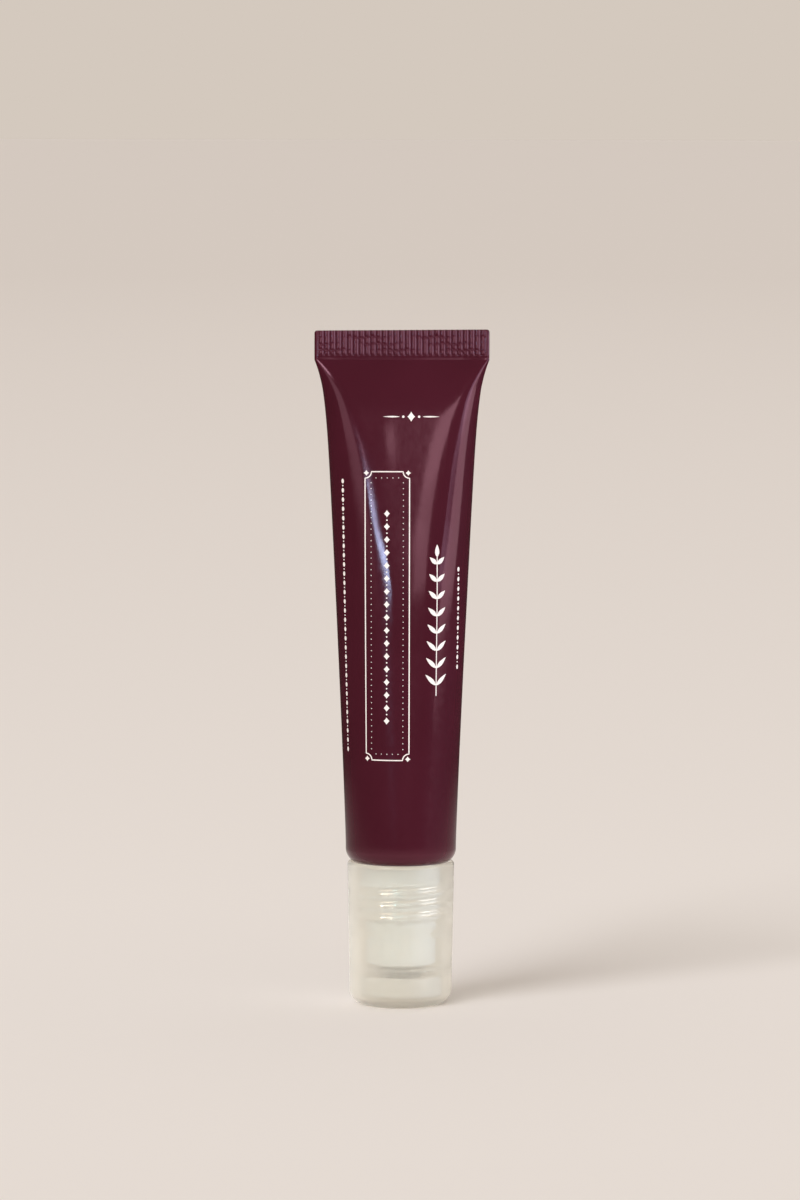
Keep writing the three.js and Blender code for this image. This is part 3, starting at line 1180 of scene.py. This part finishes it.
    def seal_rings(self) -> list[np.ndarray]:
        """Rings of the seal: the smooth band, the ribs and the cut edge.

        Returns:
            The rings, from low to high.
        """
        band = np.linspace(self.seal + self.band_start, self.crimp, self.band_rows)
        start = self.crimp + np.array(self.rib_start_rows)
        reach = np.linspace(-self.break_reach, self.break_reach, self.break_rows)
        breaks = self.crimp + np.add.outer(self.break_heights, reach).ravel()
        between = self.crimp + (np.array(self.break_heights[1:]) + self.break_heights[:-1]) / 2
        quarter = np.radians(np.linspace(0, 90, self.corner_rows))
        corner = self.cut - self.cut_corner * (1 - np.sin(quarter))
        rings = []
        for z in np.sort(np.concatenate([band, start, breaks, between, corner])):
            ring = self.skin(np.array([z]), self.seal_columns)[0]
            rise = max(0.0, z - (self.cut - self.cut_corner))
            tuck = self.cut_corner - math.sqrt(max(0.0, self.cut_corner**2 - rise**2))
            ring[:, 0] *= (self.seal_half - tuck) / self.seal_half
            aside = z - self.seal - self.seal_bead_width
            bead = self.seal_bead * math.exp(-((aside / self.seal_bead_width) ** 2))
            tuck_in = self.band_tuck * min(max((self.crimp - z) / (self.crimp - self.seal), 0.0), 1.0)
            ring[:, 1] += np.sign(ring[:, 1]) * (bead - tuck_in)
            ring[:, 1] -= self.rib(ring[:, 0], np.full(len(ring), z - self.crimp))
            ring[:, 1] += self.seal_lean * (z - self.seal)
            lift = min(max((z - self.crimp) / (self.cut - self.crimp), 0.0), 1.0)
            ring[:, 2] += self.cut_slant * ring[:, 0] * lift**2
            rings.append(ring)
        return rings

    def build(self) -> bpy.types.Object:
        """Make the sleeve as one closed shell: inner skin, turned-in foot, outer skin and seal.

        Returns:
            The sleeve.
        """
        draft = MeshDraft()
        inner_heights = self.body_heights(self.foot + self.foot_radius, self.seam, self.inner_rows)[::-1]
        outer_heights = self.body_heights(self.foot + self.foot_radius, self.seal, self.body_rows)
        rings = [draft.ring(ring) for ring in self.skin(inner_heights, self.columns, self.wall)]
        draft.zip_up(rings[0])
        rings += [draft.ring(ring) for ring in reversed(self.foot_rings(self.foot_radius - self.wall))]
        rings += [draft.ring(ring) for ring in self.foot_rings(self.foot_radius)]
        rings += [draft.ring(ring) for ring in self.skin(outer_heights, self.columns)]
        rings += [draft.ring(ring) for ring in self.seal_rings()]
        for low, high in zip(rings, rings[1:]):
            draft.bridge(low, high)
        draft.zip_up(rings[-1])
        piece = draft.piece("sleeve", BURGUNDY_SLEEVE, sharp_degrees=50)
        return settle(piece, Body.TUBE, "burgundy_polyethylene", "tube_sleeve")


@dataclass
class SleevePrint:
    """Pale print on the sleeve's front: a notched frame with a dotted inner border, and plain ornament."""

    sleeve: TubeSleeve
    frame_left: float = -6.25
    frame_right: float = 1.35
    frame_low: float = 42.9
    frame_high: float = 91.9
    notch: float = 1.1
    line: float = 0.19
    dot_inset: float = 1.05
    dot_cut: float = 0.75
    dot_pitch: float = 0.98
    dot_size: float = 0.16
    lozenge_size: float = 0.95
    lozenge_inset: float = 0.22
    lozenge_power: float = 0.8
    lift: float = 0.02
    sink: float = 0.03
    spot_end: float = 0.98
    spot_rows: int = 9
    leaf_ends: Span = (0.03, 0.97)
    leaf_rows: int = 10
    leaf_belly: float = 0.8
    rows: int = 320
    columns: int = 960

    def __post_init__(self) -> None:
        """Lay out the skin that the ink lies on."""
        self.heights = np.linspace(self.sleeve.foot + self.sleeve.foot_radius, self.sleeve.seal, self.rows)
        self.points = self.sleeve.skin(self.heights, self.columns)
        self.normals = self.sleeve.outward(self.points)
        self.draft = MeshDraft()

    def on_skin(self, places: np.ndarray, lift: float) -> np.ndarray:
        """Carry flat print onto the sleeve.

        Args:
            places: Rows of girth from the front's middle, and height.
            lift: Height above the skin.

        Returns:
            Rows of X, Y and Z.
        """
        column = np.mod(places[:, 0] / self.sleeve.girth, 1.0) * self.columns
        row = np.interp(places[:, 1], self.heights, np.arange(self.rows))
        c0 = np.floor(column).astype(int) % self.columns
        c1 = (c0 + 1) % self.columns
        r0 = np.minimum(np.floor(row).astype(int), self.rows - 2)
        u = (column - np.floor(column))[:, None]
        v = (row - r0)[:, None]
        skin = self.points + self.normals * lift
        low = skin[r0, c0] * (1 - u) + skin[r0, c1] * u
        high = skin[r0 + 1, c0] * (1 - u) + skin[r0 + 1, c1] * u
        return low * (1 - v) + high * v

    def strip(self, left: Sequence[Point], right: Sequence[Point], closed: bool = False) -> None:
        """Lay a strip of ink between two edges.

        Args:
            left: Points of one edge.
            right: As many points of the other edge.
            closed: Whether the strip runs back into its start.
        """
        edges = [np.asarray(left, dtype=float), np.asarray(right, dtype=float)]
        rails = [
            self.draft.ring(self.on_skin(edges[0], self.lift)),
            self.draft.ring(self.on_skin(edges[1], self.lift)),
            self.draft.ring(self.on_skin(edges[1], -self.sink)),
            self.draft.ring(self.on_skin(edges[0], -self.sink)),
        ]
        count = len(edges[0])
        for i in range(count if closed else count - 1):
            j = (i + 1) % count
            for a, b in zip(rails, rails[1:] + rails[:1]):
                self.draft.face(a[i], b[i], b[j], a[j])
        if not closed:
            self.draft.face(*(rail[0] for rail in rails))
            self.draft.face(*(rail[-1] for rail in rails))

    def rule(self, path: Sequence[Point], width: float, closed: bool = False) -> None:
        """Draw a line of even width.

        Args:
            path: Its corners.
            width: Its width.
            closed: Whether it runs back to its start.
        """
        points = self.fine(path, closed)
        if closed:
            along = np.roll(points, -1, axis=0) - np.roll(points, 1, axis=0)
        else:
            along = np.gradient(points, axis=0)
        along = along / np.linalg.norm(along, axis=1, keepdims=True)
        aside = np.stack([-along[:, 1], along[:, 0]], axis=1) * width / 2
        self.strip(points + aside, points - aside, closed)

    @staticmethod
    def fine(path: Sequence[Point], closed: bool, step: float = 0.35) -> np.ndarray:
        """Add points along a path so that it can follow the skin.

        Args:
            path: Its corners.
            closed: Whether it runs back to its start.
            step: Largest distance between points.

        Returns:
            Rows of girth and height.
        """
        corners = [np.asarray(corner, dtype=float) for corner in path]
        if closed:
            corners.append(corners[0])
        points = []
        for a, b in zip(corners, corners[1:]):
            count = max(1, math.ceil(np.hypot(*(b - a)) / step))
            points += [a + (b - a) * k / count for k in range(count)]
        if not closed:
            points.append(corners[-1])
        return np.array(points)

    def spot(self, centre: Point, width: float, height: float, power: float = 2.0) -> None:
        """Print a small closed figure.

        Args:
            centre: Its middle.
            width: Its full width.
            height: Its full height.
            power: 2 is an oval and 1 a lozenge; less draws its sides in.
        """
        share = np.linspace(-self.spot_end, self.spot_end, self.spot_rows)
        half = width / 2 * (1 - np.abs(share) ** power) ** (1 / power)
        z = centre[1] + share * height / 2
        self.strip(np.stack([centre[0] - half, z], axis=1), np.stack([centre[0] + half, z], axis=1))

    def leaf(self, root: Point, tip: Point, width: float) -> None:
        """Print a pointed leaf.

        Args:
            root: Where it leaves the stem.
            tip: Its point.
            width: Its full width.
        """
        start, end = np.asarray(root), np.asarray(tip)
        along = (end - start) / np.linalg.norm(end - start)
        aside = np.array([-along[1], along[0]])
        share = np.linspace(*self.leaf_ends, self.leaf_rows)[:, None]
        half = width / 2 * np.sin(math.pi * share**self.leaf_belly)
        spine = start + (end - start) * share
        self.strip(spine + aside * half, spine - aside * half)

    def ticket_frame(self) -> None:
        """Draw the frame with its notched corners, a lozenge in each notch, and the dotted inner border."""
        left, right, low, high, notch = (
            self.frame_left,
            self.frame_right,
            self.frame_low,
            self.frame_high,
            self.notch,
        )
        path = [
            *arc((left, low), notch, 90, 0),
            *arc((right, low), notch, 180, 90),
            *arc((right, high), notch, 270, 180),
            *arc((left, high), notch, 360, 270),
        ]
        self.rule(path, self.line, closed=True)
        inset = self.lozenge_inset
        for x, z in (
            (left + inset, low + inset),
            (right - inset, low + inset),
            (left + inset, high - inset),
            (right - inset, high - inset),
        ):
            self.spot((x, z), self.lozenge_size, self.lozenge_size, self.lozenge_power)
        inner = (left + self.dot_inset, right - self.dot_inset, low + self.dot_inset, high - self.dot_inset)
        self.dotted_box(*inner)

    def dotted_box(self, left: float, right: float, low: float, high: float) -> None:
        """Dot a rectangle with cut corners.

        Args:
            left: Its left edge.
            right: Its right edge.
            low: Its lower edge.
            high: Its upper edge.
        """
        cut = self.notch * self.dot_cut
        corners = [
            (left, low + cut),
            (left + cut, low),
            (right - cut, low),
            (right, low + cut),
            (right, high - cut),
            (right - cut, high),
            (left + cut, high),
            (left, high - cut),
        ]
        for (x0, z0), (x1, z1) in zip(corners, corners[1:] + corners[:1]):
            count = max(1, round(math.hypot(x1 - x0, z1 - z0) / self.dot_pitch))
            for k in range(count):
                place = (x0 + (x1 - x0) * k / count, z0 + (z1 - z0) * k / count)
                self.spot(place, self.dot_size, self.dot_size)

    def lozenge_chain(self, girth: float, low: float, high: float, pitch: float, width: float) -> None:
        """Run lozenges and dots up a line.

        Args:
            girth: The line's place round the sleeve.
            low: Its lower end.
            high: Its upper end.
            pitch: Distance from lozenge to lozenge.
            width: A lozenge's width.
        """
        height, dot, power = pitch * 0.55, width * 0.26, 0.9
        count = round((high - low) / pitch)
        for k in range(count + 1):
            z = low + (high - low) * k / count
            self.spot((girth, z), width, height, power)
            if k < count:
                self.spot((girth, z + pitch / 2), dot, dot)

    def bead_row(self, low: Point, high: Point, pitch: float, width: float) -> None:
        """Run long beads and dots along a line.

        Args:
            low: The line's lower end.
            high: Its upper end.
            pitch: Distance from bead to bead.
            width: A bead's width.
        """
        start, end = np.asarray(low), np.asarray(high)
        height, dot = pitch * 0.5, width * 0.5
        count = round((end[1] - start[1]) / pitch)
        for k in range(count + 1):
            u, z = start + (end - start) * k / count
            self.spot((u, z), width, height)
            if k < count:
                u, z = start + (end - start) * (k + 0.5) / count
                self.spot((u, z), dot, dot)

    def sprig(self, girth: float, low: float, high: float, reach: float) -> None:
        """Print an upright sprig with paired leaves.

        Args:
            girth: Its stem's place round the sleeve.
            low: Its foot.
            high: Its tip.
            reach: How far a leaf reaches to the side.
        """
        stem_short, crown, first, bare = 1.6, 2.2, 1.8, 5.2
        stem_width, crown_width, leaf_width, leaf_root = 0.16, 0.75, 0.72, 0.05
        narrowing, rise, pairs = 0.35, 0.95, 8
        self.rule([(girth, low), (girth, high - stem_short)], stem_width)
        self.leaf((girth, high - crown), (girth, high), crown_width)
        for k in range(pairs):
            z = low + first + (high - low - bare) * k / (pairs - 1)
            out = reach * (1 - narrowing * k / (pairs - 1))
            for side in (-1, 1):
                self.leaf((girth + leaf_root * side, z), (girth + out * side, z + out * rise), leaf_width)

    def divider(self, girth: float, z: float) -> None:
        """Print a level ornament: a lozenge between two tapering rules.

        Args:
            girth: Its middle.
            z: Its height.
        """
        width, height, power, dot, rule = 1.3, 1.7, 0.85, 0.42, 0.24
        dot_place, rule_start, rule_end = 1.35, 1.9, 4.9
        self.spot((girth, z), width, height, power)
        for side in (-1, 1):
            self.spot((girth + dot_place * side, z), dot, dot)
            self.leaf((girth + rule_start * side, z), (girth + rule_end * side, z), rule)

    def build(self) -> bpy.types.Object:
        """Print everything as one piece of ink.

        Returns:
            The print.
        """
        self.ticket_frame()
        self.lozenge_chain(girth=-2.5, low=49.6, high=84.8, pitch=2.2, width=1.0)
        self.divider(girth=1.6, z=101.2)
        self.sprig(girth=6.1, low=53.8, high=79.6, reach=2.0)
        self.bead_row(low=(10.9, 58.5), high=(10.4, 75.2), pitch=1.6, width=0.5)
        self.bead_row(low=(-10.8, 44.4), high=(-10.4, 90.2), pitch=1.6, width=0.5)
        piece = self.draft.piece("sleeve_print", PALE_INK, sharp_degrees=30)
        return settle(piece, Body.TUBE, "burgundy_polyethylene")


@dataclass
class RollerTip:
    """What the cap covers: the tube's head, the threaded housing, the ball, and the oil behind them."""

    ball_radius: float = 4.7625
    ball_z: float = 9.4625
    cup_radius: float = 4.8625
    face: float = 7.0
    nose_radius: float = 6.0625
    nose_round: float = 0.6
    step: float = 15.125
    root: float = 6.71
    flange_radius: float = 7.25
    flange: float = 23.85
    flange_edge: float = 0.15
    top: float = 24.85
    socket_radius: float = 5.56
    socket_floor: float = 15.925
    feed_radius: float = 1.5
    snap: float = 20.5375
    snap_half: float = 0.35
    snap_depth: float = 0.28
    socket_edge: float = 0.2
    ball_pole: float = 4.0
    thread: Thread = Thread(wall=6.71, outward=1, low=17.7, turns=2.0)

    def housing(self) -> bpy.types.Object:
        """Make the housing with its ball cup, thread, flange and snap socket.

        Returns:
            The housing.
        """
        crown = math.degrees(math.acos(self.feed_radius / self.cup_radius))
        lip = math.degrees(math.asin((self.face - self.ball_z) / self.cup_radius))
        nose_centre = (self.nose_radius - self.nose_round, self.face + self.nose_round)
        profile = [
            *arc((0, self.ball_z), self.cup_radius, crown, lip, steps=24),
            *arc(nose_centre, self.nose_round, -90, 0),
            (self.nose_radius, self.step - (self.root - self.nose_radius)),
            *upright(self.root, self.step, self.flange, THREAD_STEP),
            (self.flange_radius - self.flange_edge, self.flange),
            (self.flange_radius, self.flange + self.flange_edge),
            (self.flange_radius, self.top - self.flange_edge),
            (self.flange_radius - self.flange_edge, self.top),
            (self.socket_radius + self.socket_edge, self.top),
            (self.socket_radius, self.top - self.socket_edge),
            (self.socket_radius, self.snap + self.snap_half + self.snap_depth),
            (self.socket_radius + self.snap_depth, self.snap + self.snap_half),
            (self.socket_radius + self.snap_depth, self.snap - self.snap_half),
            (self.socket_radius, self.snap - self.snap_half - self.snap_depth),
            (self.socket_radius, self.socket_floor),
            (self.feed_radius, self.socket_floor),
        ]
        piece = turned(profile, segments=144, thread=self.thread).piece("roller_fitment", NATURAL_HOUSING)
        return settle(piece, Body.TUBE, "natural_polypropylene", "roller_housing")

    def ball(self) -> bpy.types.Object:
        """Make the ball, with the small flat that lapping leaves at each pole.

        Returns:
            The ball.
        """
        pole = 90 - self.ball_pole
        ring = arc((0, self.ball_z), self.ball_radius, -pole, pole, steps=60)
        profile = [(0.0, ring[0][1]), *ring, (0.0, ring[-1][1])]
        piece = turned(profile, segments=96).piece("ball", STEEL_BALL)
        return settle(piece, Body.BALL, "polished_stainless_steel", "roller_ball")

    def build(self) -> None:
        """Make the housing and the ball, and dress the head and the oil."""
        self.housing()
        self.ball()
        dress_node("tube_head", NATURAL_HEAD)
        dress_node("oil_fill", AMBER_OIL)


@dataclass
class CapAndPad:
    """The frosted screw cap that the tube stands on, and the loose pad in it."""

    length: float = 24.3
    rim_rise: float = 0.45
    rim_round: float = 0.62
    mouth_radius: float = 9.16
    end_radius: float = 8.78
    corner: float = 2.7
    end_wall: float = 1.5
    gate_radius: float = 1.2
    gate_depth: float = 0.25
    thread_bore: float = 7.91
    bore: float = 7.28
    bore_step: float = 13.7
    bore_step_length: float = 1.9
    bore_chamfer: float = 0.3
    bore_fillet: float = 0.8
    bead_radius: float = 6.93
    bead: float = 5.3
    bead_reach: float = 0.9
    pad_radius: float = 6.98
    pad_low: float = 1.6
    pad_top: float = 5.2
    pad_round: float = 0.35
    pad_corner: float = 0.8
    ease_steps: int = 12
    dish_radius: float = 5.0625
    dish_centre: float = 9.4625
    thread: Thread = Thread(wall=7.91, outward=-1, low=14.7, turns=3.5)

    def cap(self) -> bpy.types.Object:
        """Make the cap with its rounded closed end, dished rim and inner thread.

        Returns:
            The cap.
        """
        rim = self.length + self.rim_rise
        bead_height = self.bore - self.bead_radius
        step_depth = self.thread_bore - self.bore
        fillet = self.bore_fillet
        step = [
            (self.thread_bore - step_depth * soft_ramp(share), self.bore_step - share * self.bore_step_length)
            for share in np.linspace(0, 1, self.ease_steps + 1)
        ]
        bead = [
            (self.bore - bead_height * soft_ramp(1 - abs(share)), self.bead + (1 - share) * self.bead_reach)
            for share in np.linspace(-1, 1, self.ease_steps + 1)
        ]
        outside = [
            (0.0, self.gate_depth),
            (self.gate_radius, self.gate_depth),
            (self.gate_radius + self.gate_depth, 0.0),
            *arc((self.end_radius - self.corner, self.corner), self.corner, -90, 0, steps=16),
            *arc((self.mouth_radius - self.rim_round, rim - self.rim_round), self.rim_round, 0, 90, steps=6),
            (self.thread_bore + self.bore_chamfer, self.length),
        ]
        inside = [
            *upright(self.thread_bore, self.length - self.bore_chamfer, self.bore_step, THREAD_STEP),
            *step[1:],
            *bead,
            *arc((self.bore - fillet, self.end_wall + fillet), fillet, 0, -90, steps=6),
            (0.0, self.end_wall),
        ]
        draft = turned([*outside, *inside], segments=160, thread=self.thread, lining_from=len(outside) - 1)
        piece = draft.piece("cap", FROSTED_CAP, sharp_degrees=35, lining=POLISHED_BORE)
        return settle(piece, Body.CAP, "frosted_polypropylene", "screw_cap")

    def pad(self) -> bpy.types.Object:
        """Make the pad with its dished top.

        Returns:
            The pad.
        """
        rim = math.degrees(math.asin((self.pad_top - self.dish_centre) / self.dish_radius))
        dish = arc((0, self.dish_centre), self.dish_radius, -90, rim, steps=12)
        inset, corner = self.pad_radius - self.pad_round, self.pad_corner
        profile = [
            (0.0, dish[0][1]),
            *dish[1:],
            *arc((inset, self.pad_top - self.pad_round), self.pad_round, 90, 0, steps=5),
            *arc((self.pad_radius - corner, self.pad_low + corner), corner, 0, -90, steps=6),
            (0.0, self.pad_low),
        ]
        piece = turned(profile, segments=96).piece("sealing_pad", FOAM_PAD)
        return settle(piece, Body.LINER, "soft_polyethylene_foam", "cap_liner")

    def build(self) -> None:
        """Make the cap and its pad."""
        self.cap()
        self.pad()


@dataclass(frozen=True)
class FarLamp:
    """A lamp so far away that it lights everything evenly.

    Azimuth is degrees round the object from the camera, positive to the right, and elevation degrees above
    the floor. Strength is the light on a surface that faces it, and spread the degrees that it spans, which
    softens its shadow. One without a shadow is a plain fill, and lights the object only.
    """

    name: str
    azimuth: float
    elevation: float
    strength: float
    spread: float
    colour: str = "#ffffff"
    shadow: bool = True


@dataclass(frozen=True)
class SoftPanel:
    """A soft panel that faces the object and that only surfaces see.

    Angles are a far lamp's, size is width and height in metres, and power is watts. It lights the pieces
    named in only, or the whole object where none is named.
    """

    name: str
    azimuth: float
    elevation: float
    size: Span
    power: float
    colour: str = "#ffffff"
    only: tuple[str, ...] = ()


@dataclass
class Studio:
    """Pale paper floor, soft light from the front left, and the camera.

    The floor's rings, the camera's clipping and the panels' places are metres. The room's edge is how far
    back a mirrored ray points, as the Y of its direction, where the paper ends and where all is room.
    """

    camera_distance: float = 1000.0
    camera_height: float = 150.0
    aim_x: float = -0.24
    aim_z: float = 69.6
    roll: float = 0.13
    pixel: float = 0.1712
    sensor: float = 36.0
    clip: Span = (0.01, 200.0)
    floor_name: str = "paper_floor"
    floor_rings: tuple[float, ...] = (0.05, 0.2, 0.6, 1.5, 4.0, 12.0, 80.0)
    floor_segments: int = 96
    fill_strength: float = 0.53
    fill_colour: str = "#fff5e9"
    far_colour: str = "#d4c9be"
    room_colour: str = "#433f3c"
    room_edge: Span = (0.99, 0.93)
    panel_distance: float = 1.0
    panel_centre: float = 0.06
    far_lamps: tuple[FarLamp, ...] = (
        FarLamp("key", -37.0, 36.0, 1.6, 29.0, "#f9fbff"),
        FarLamp("overhead", 180.0, 70.0, 0.3, 70.0),
        FarLamp("sky_right", 75.0, 2.0, 2.3, 60.0, "#d8e6fb", shadow=False),
        FarLamp("window_right", 68.0, 32.0, 0.2, 14.0, "#fff6ec", shadow=False),
    )
    panels: tuple[SoftPanel, ...] = (
        SoftPanel("window_low", -14.5, 5.3, (0.16, 0.036), 0.86, "#9be7ff"),
        SoftPanel("window_middle", -15.5, 6.4, (0.1, 0.017), 0.043, "#d4ecff"),
        SoftPanel("window_high", -15.5, 9.2, (0.05, 0.08), 0.034, "#f6f4ff"),
        SoftPanel("panel_left", -36.0, 11.8, (0.4, 0.31), 0.5, only=("sleeve", "sleeve_print")),
        SoftPanel("panel_right", 10.5, 15.1, (0.3, 0.26), 0.78),
        SoftPanel("panel_low", 10.5, 5.7, (0.26, 0.06), 0.105),
        SoftPanel("card_right", 67.0, 1.4, (0.45, 0.17), 0.625),
        SoftPanel("window_cap", -38.0, 5.0, (0.6, 0.055), 1.15, "#fff3e6", only=("cap",)),
    )

    def floor(self) -> None:
        """Lay the paper as a wide disc."""
        draft = MeshDraft()
        angle = np.arange(self.floor_segments) * 2 * math.pi / self.floor_segments
        circle = np.stack([np.cos(angle), np.sin(angle), np.zeros(self.floor_segments)], axis=1)
        rings = [draft.ring(np.zeros((1, 3)))]
        rings += [draft.ring(circle * reach / MM) for reach in self.floor_rings]
        for low, high in zip(rings, rings[1:]):
            draft.bridge(low, high)
        floor = draft.piece(self.floor_name, BEIGE_PAPER)
        LOG.info("%s: stage", self.floor_name)

    def world(self) -> None:
        """Fill in with even light.

        The camera, metal and glass see the pale paper instead, and the dim room in front of it.
        """
        world = bpy.data.worlds.new("studio")
        bpy.context.scene.world = world
        world.use_nodes = True
        tree = world.node_tree
        tree.nodes.clear()
        place = add_node(tree, "ShaderNodeTexCoord").outputs["Generated"]
        depth = add_node(tree, "ShaderNodeSeparateXYZ", {"Vector": place}).outputs["Y"]
        start, end = self.room_edge
        front = add_node(tree, "ShaderNodeMapRange", {"Value": depth, "From Min": start, "From Max": end})
        dim = add_node(tree, "ShaderNodeMath", {0: front, 1: mirrored_ray(tree)}, operation="MULTIPLY")
        path = add_node(tree, "ShaderNodeLightPath").outputs
        clear = {0: path["Is Glossy Ray"], 1: path["Is Transmission Ray"]}
        glossy = add_node(tree, "ShaderNodeMath", clear, operation="MAXIMUM")
        seen = {0: path["Is Camera Ray"], 1: glossy}
        direct = add_node(tree, "ShaderNodeMath", seen, operation="MAXIMUM")
        colours = {0: dim, 6: linear(self.far_colour), 7: linear(self.room_colour)}
        room = add_node(tree, "ShaderNodeMix", colours, data_type="RGBA").outputs[2]
        shown = add_node(tree, "ShaderNodeBackground", {"Color": room, "Strength": 1.0})
        light = {"Color": linear(self.fill_colour), "Strength": self.fill_strength}
        fill = add_node(tree, "ShaderNodeBackground", light)
        both = add_node(tree, "ShaderNodeMixShader", {0: direct, 1: fill, 2: shown})
        add_node(tree, "ShaderNodeOutputWorld", {"Surface": both})

    @staticmethod
    def direction(azimuth: float, elevation: float) -> Vector:
        """Return the unit vector from the object to a place seen at those angles, in degrees."""
        a, e = math.radians(azimuth), math.radians(elevation)
        return Vector((math.sin(a) * math.cos(e), -math.cos(a) * math.cos(e), math.sin(e)))

    def lit_pieces(self, only: tuple[str, ...] = ()) -> bpy.types.Collection:
        """Gather the pieces that a lamp lights, once; the paper is never among them.

        Args:
            only: Names of the pieces, or none for the whole object.

        Returns:
            The collection of those pieces.
        """
        name = "_".join(("lit", *only))
        pieces = bpy.data.collections.get(name)
        if pieces is None:
            pieces = bpy.data.collections.new(name)
            for piece in bpy.context.scene.objects:
                wanted = piece.name in only if only else piece.name != self.floor_name
                if piece.type == "MESH" and wanted:
                    pieces.objects.link(piece)
        return pieces

    def far_lamp(self, lamp: FarLamp) -> None:
        """Hang a far lamp.

        Args:
            lamp: What it is like.
        """
        light = bpy.data.lights.new(lamp.name, "SUN")
        light.use_shadow = lamp.shadow
        light.energy = lamp.strength
        light.angle = math.radians(lamp.spread)
        light.color = linear(lamp.colour)[:3]
        sun = bpy.data.objects.new(lamp.name, light)
        if not lamp.shadow:
            sun.light_linking.receiver_collection = self.lit_pieces()
        sun.rotation_mode = "QUATERNION"
        sun.rotation_quaternion = self.direction(lamp.azimuth, lamp.elevation).to_track_quat("Z", "Y")
        bpy.context.scene.collection.objects.link(sun)

    def soft_panel(self, panel: SoftPanel) -> None:
        """Set up a soft panel.

        Args:
            panel: What it is like.
        """
        light = bpy.data.lights.new(panel.name, "AREA")
        light.shape = "RECTANGLE"
        light.size, light.size_y = panel.size
        light.energy = panel.power
        light.color = linear(panel.colour)[:3]
        box = bpy.data.objects.new(panel.name, light)
        toward = self.direction(panel.azimuth, panel.elevation)
        box.location = Vector((0, 0, self.panel_centre)) + toward * self.panel_distance
        box.rotation_mode = "QUATERNION"
        box.rotation_quaternion = toward.to_track_quat("Z", "Y")
        box.visible_camera = False
        box.light_linking.receiver_collection = self.lit_pieces(panel.only)
        bpy.context.scene.collection.objects.link(box)

    def camera(self) -> None:
        """Set the camera at the photograph's angle and framing."""
        lens = bpy.data.cameras.new("camera")
        camera = bpy.data.objects.new("camera", lens)
        bpy.context.scene.collection.objects.link(camera)
        place = Vector((self.aim_x, -self.camera_distance, self.camera_height)) * MM
        aim = Vector((self.aim_x, 0, self.aim_z)) * MM
        camera.location = place
        camera.rotation_mode = "QUATERNION"
        level = (place - aim).to_track_quat("Z", "Y")
        camera.rotation_quaternion = level @ Quaternion((0, 0, 1), math.radians(self.roll))
        frame_height = IMAGE_HEIGHT * self.pixel * MM
        lens.sensor_width = self.sensor
        lens.lens = lens.sensor_width * (place - aim).length / frame_height
        lens.clip_start, lens.clip_end = self.clip
        bpy.context.scene.camera = camera

    def build(self) -> None:
        """Set up floor, light and camera."""
        self.floor()
        self.world()
        for lamp in self.far_lamps:
            self.far_lamp(lamp)
        for panel in self.panels:
            self.soft_panel(panel)
        self.camera()
        bpy.context.scene.view_settings.view_transform = "Standard"


def main() -> None:
    """Build the object and the studio, and log each piece as it is made."""
    logging.basicConfig(level=logging.INFO, format="%(name)s: %(message)s")
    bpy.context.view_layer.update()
    sleeve = TubeSleeve()
    sleeve.build()
    SleevePrint(sleeve).build()
    RollerTip().build()
    CapAndPad().build()
    Studio().build()


if __name__ == "__main__":
    main()
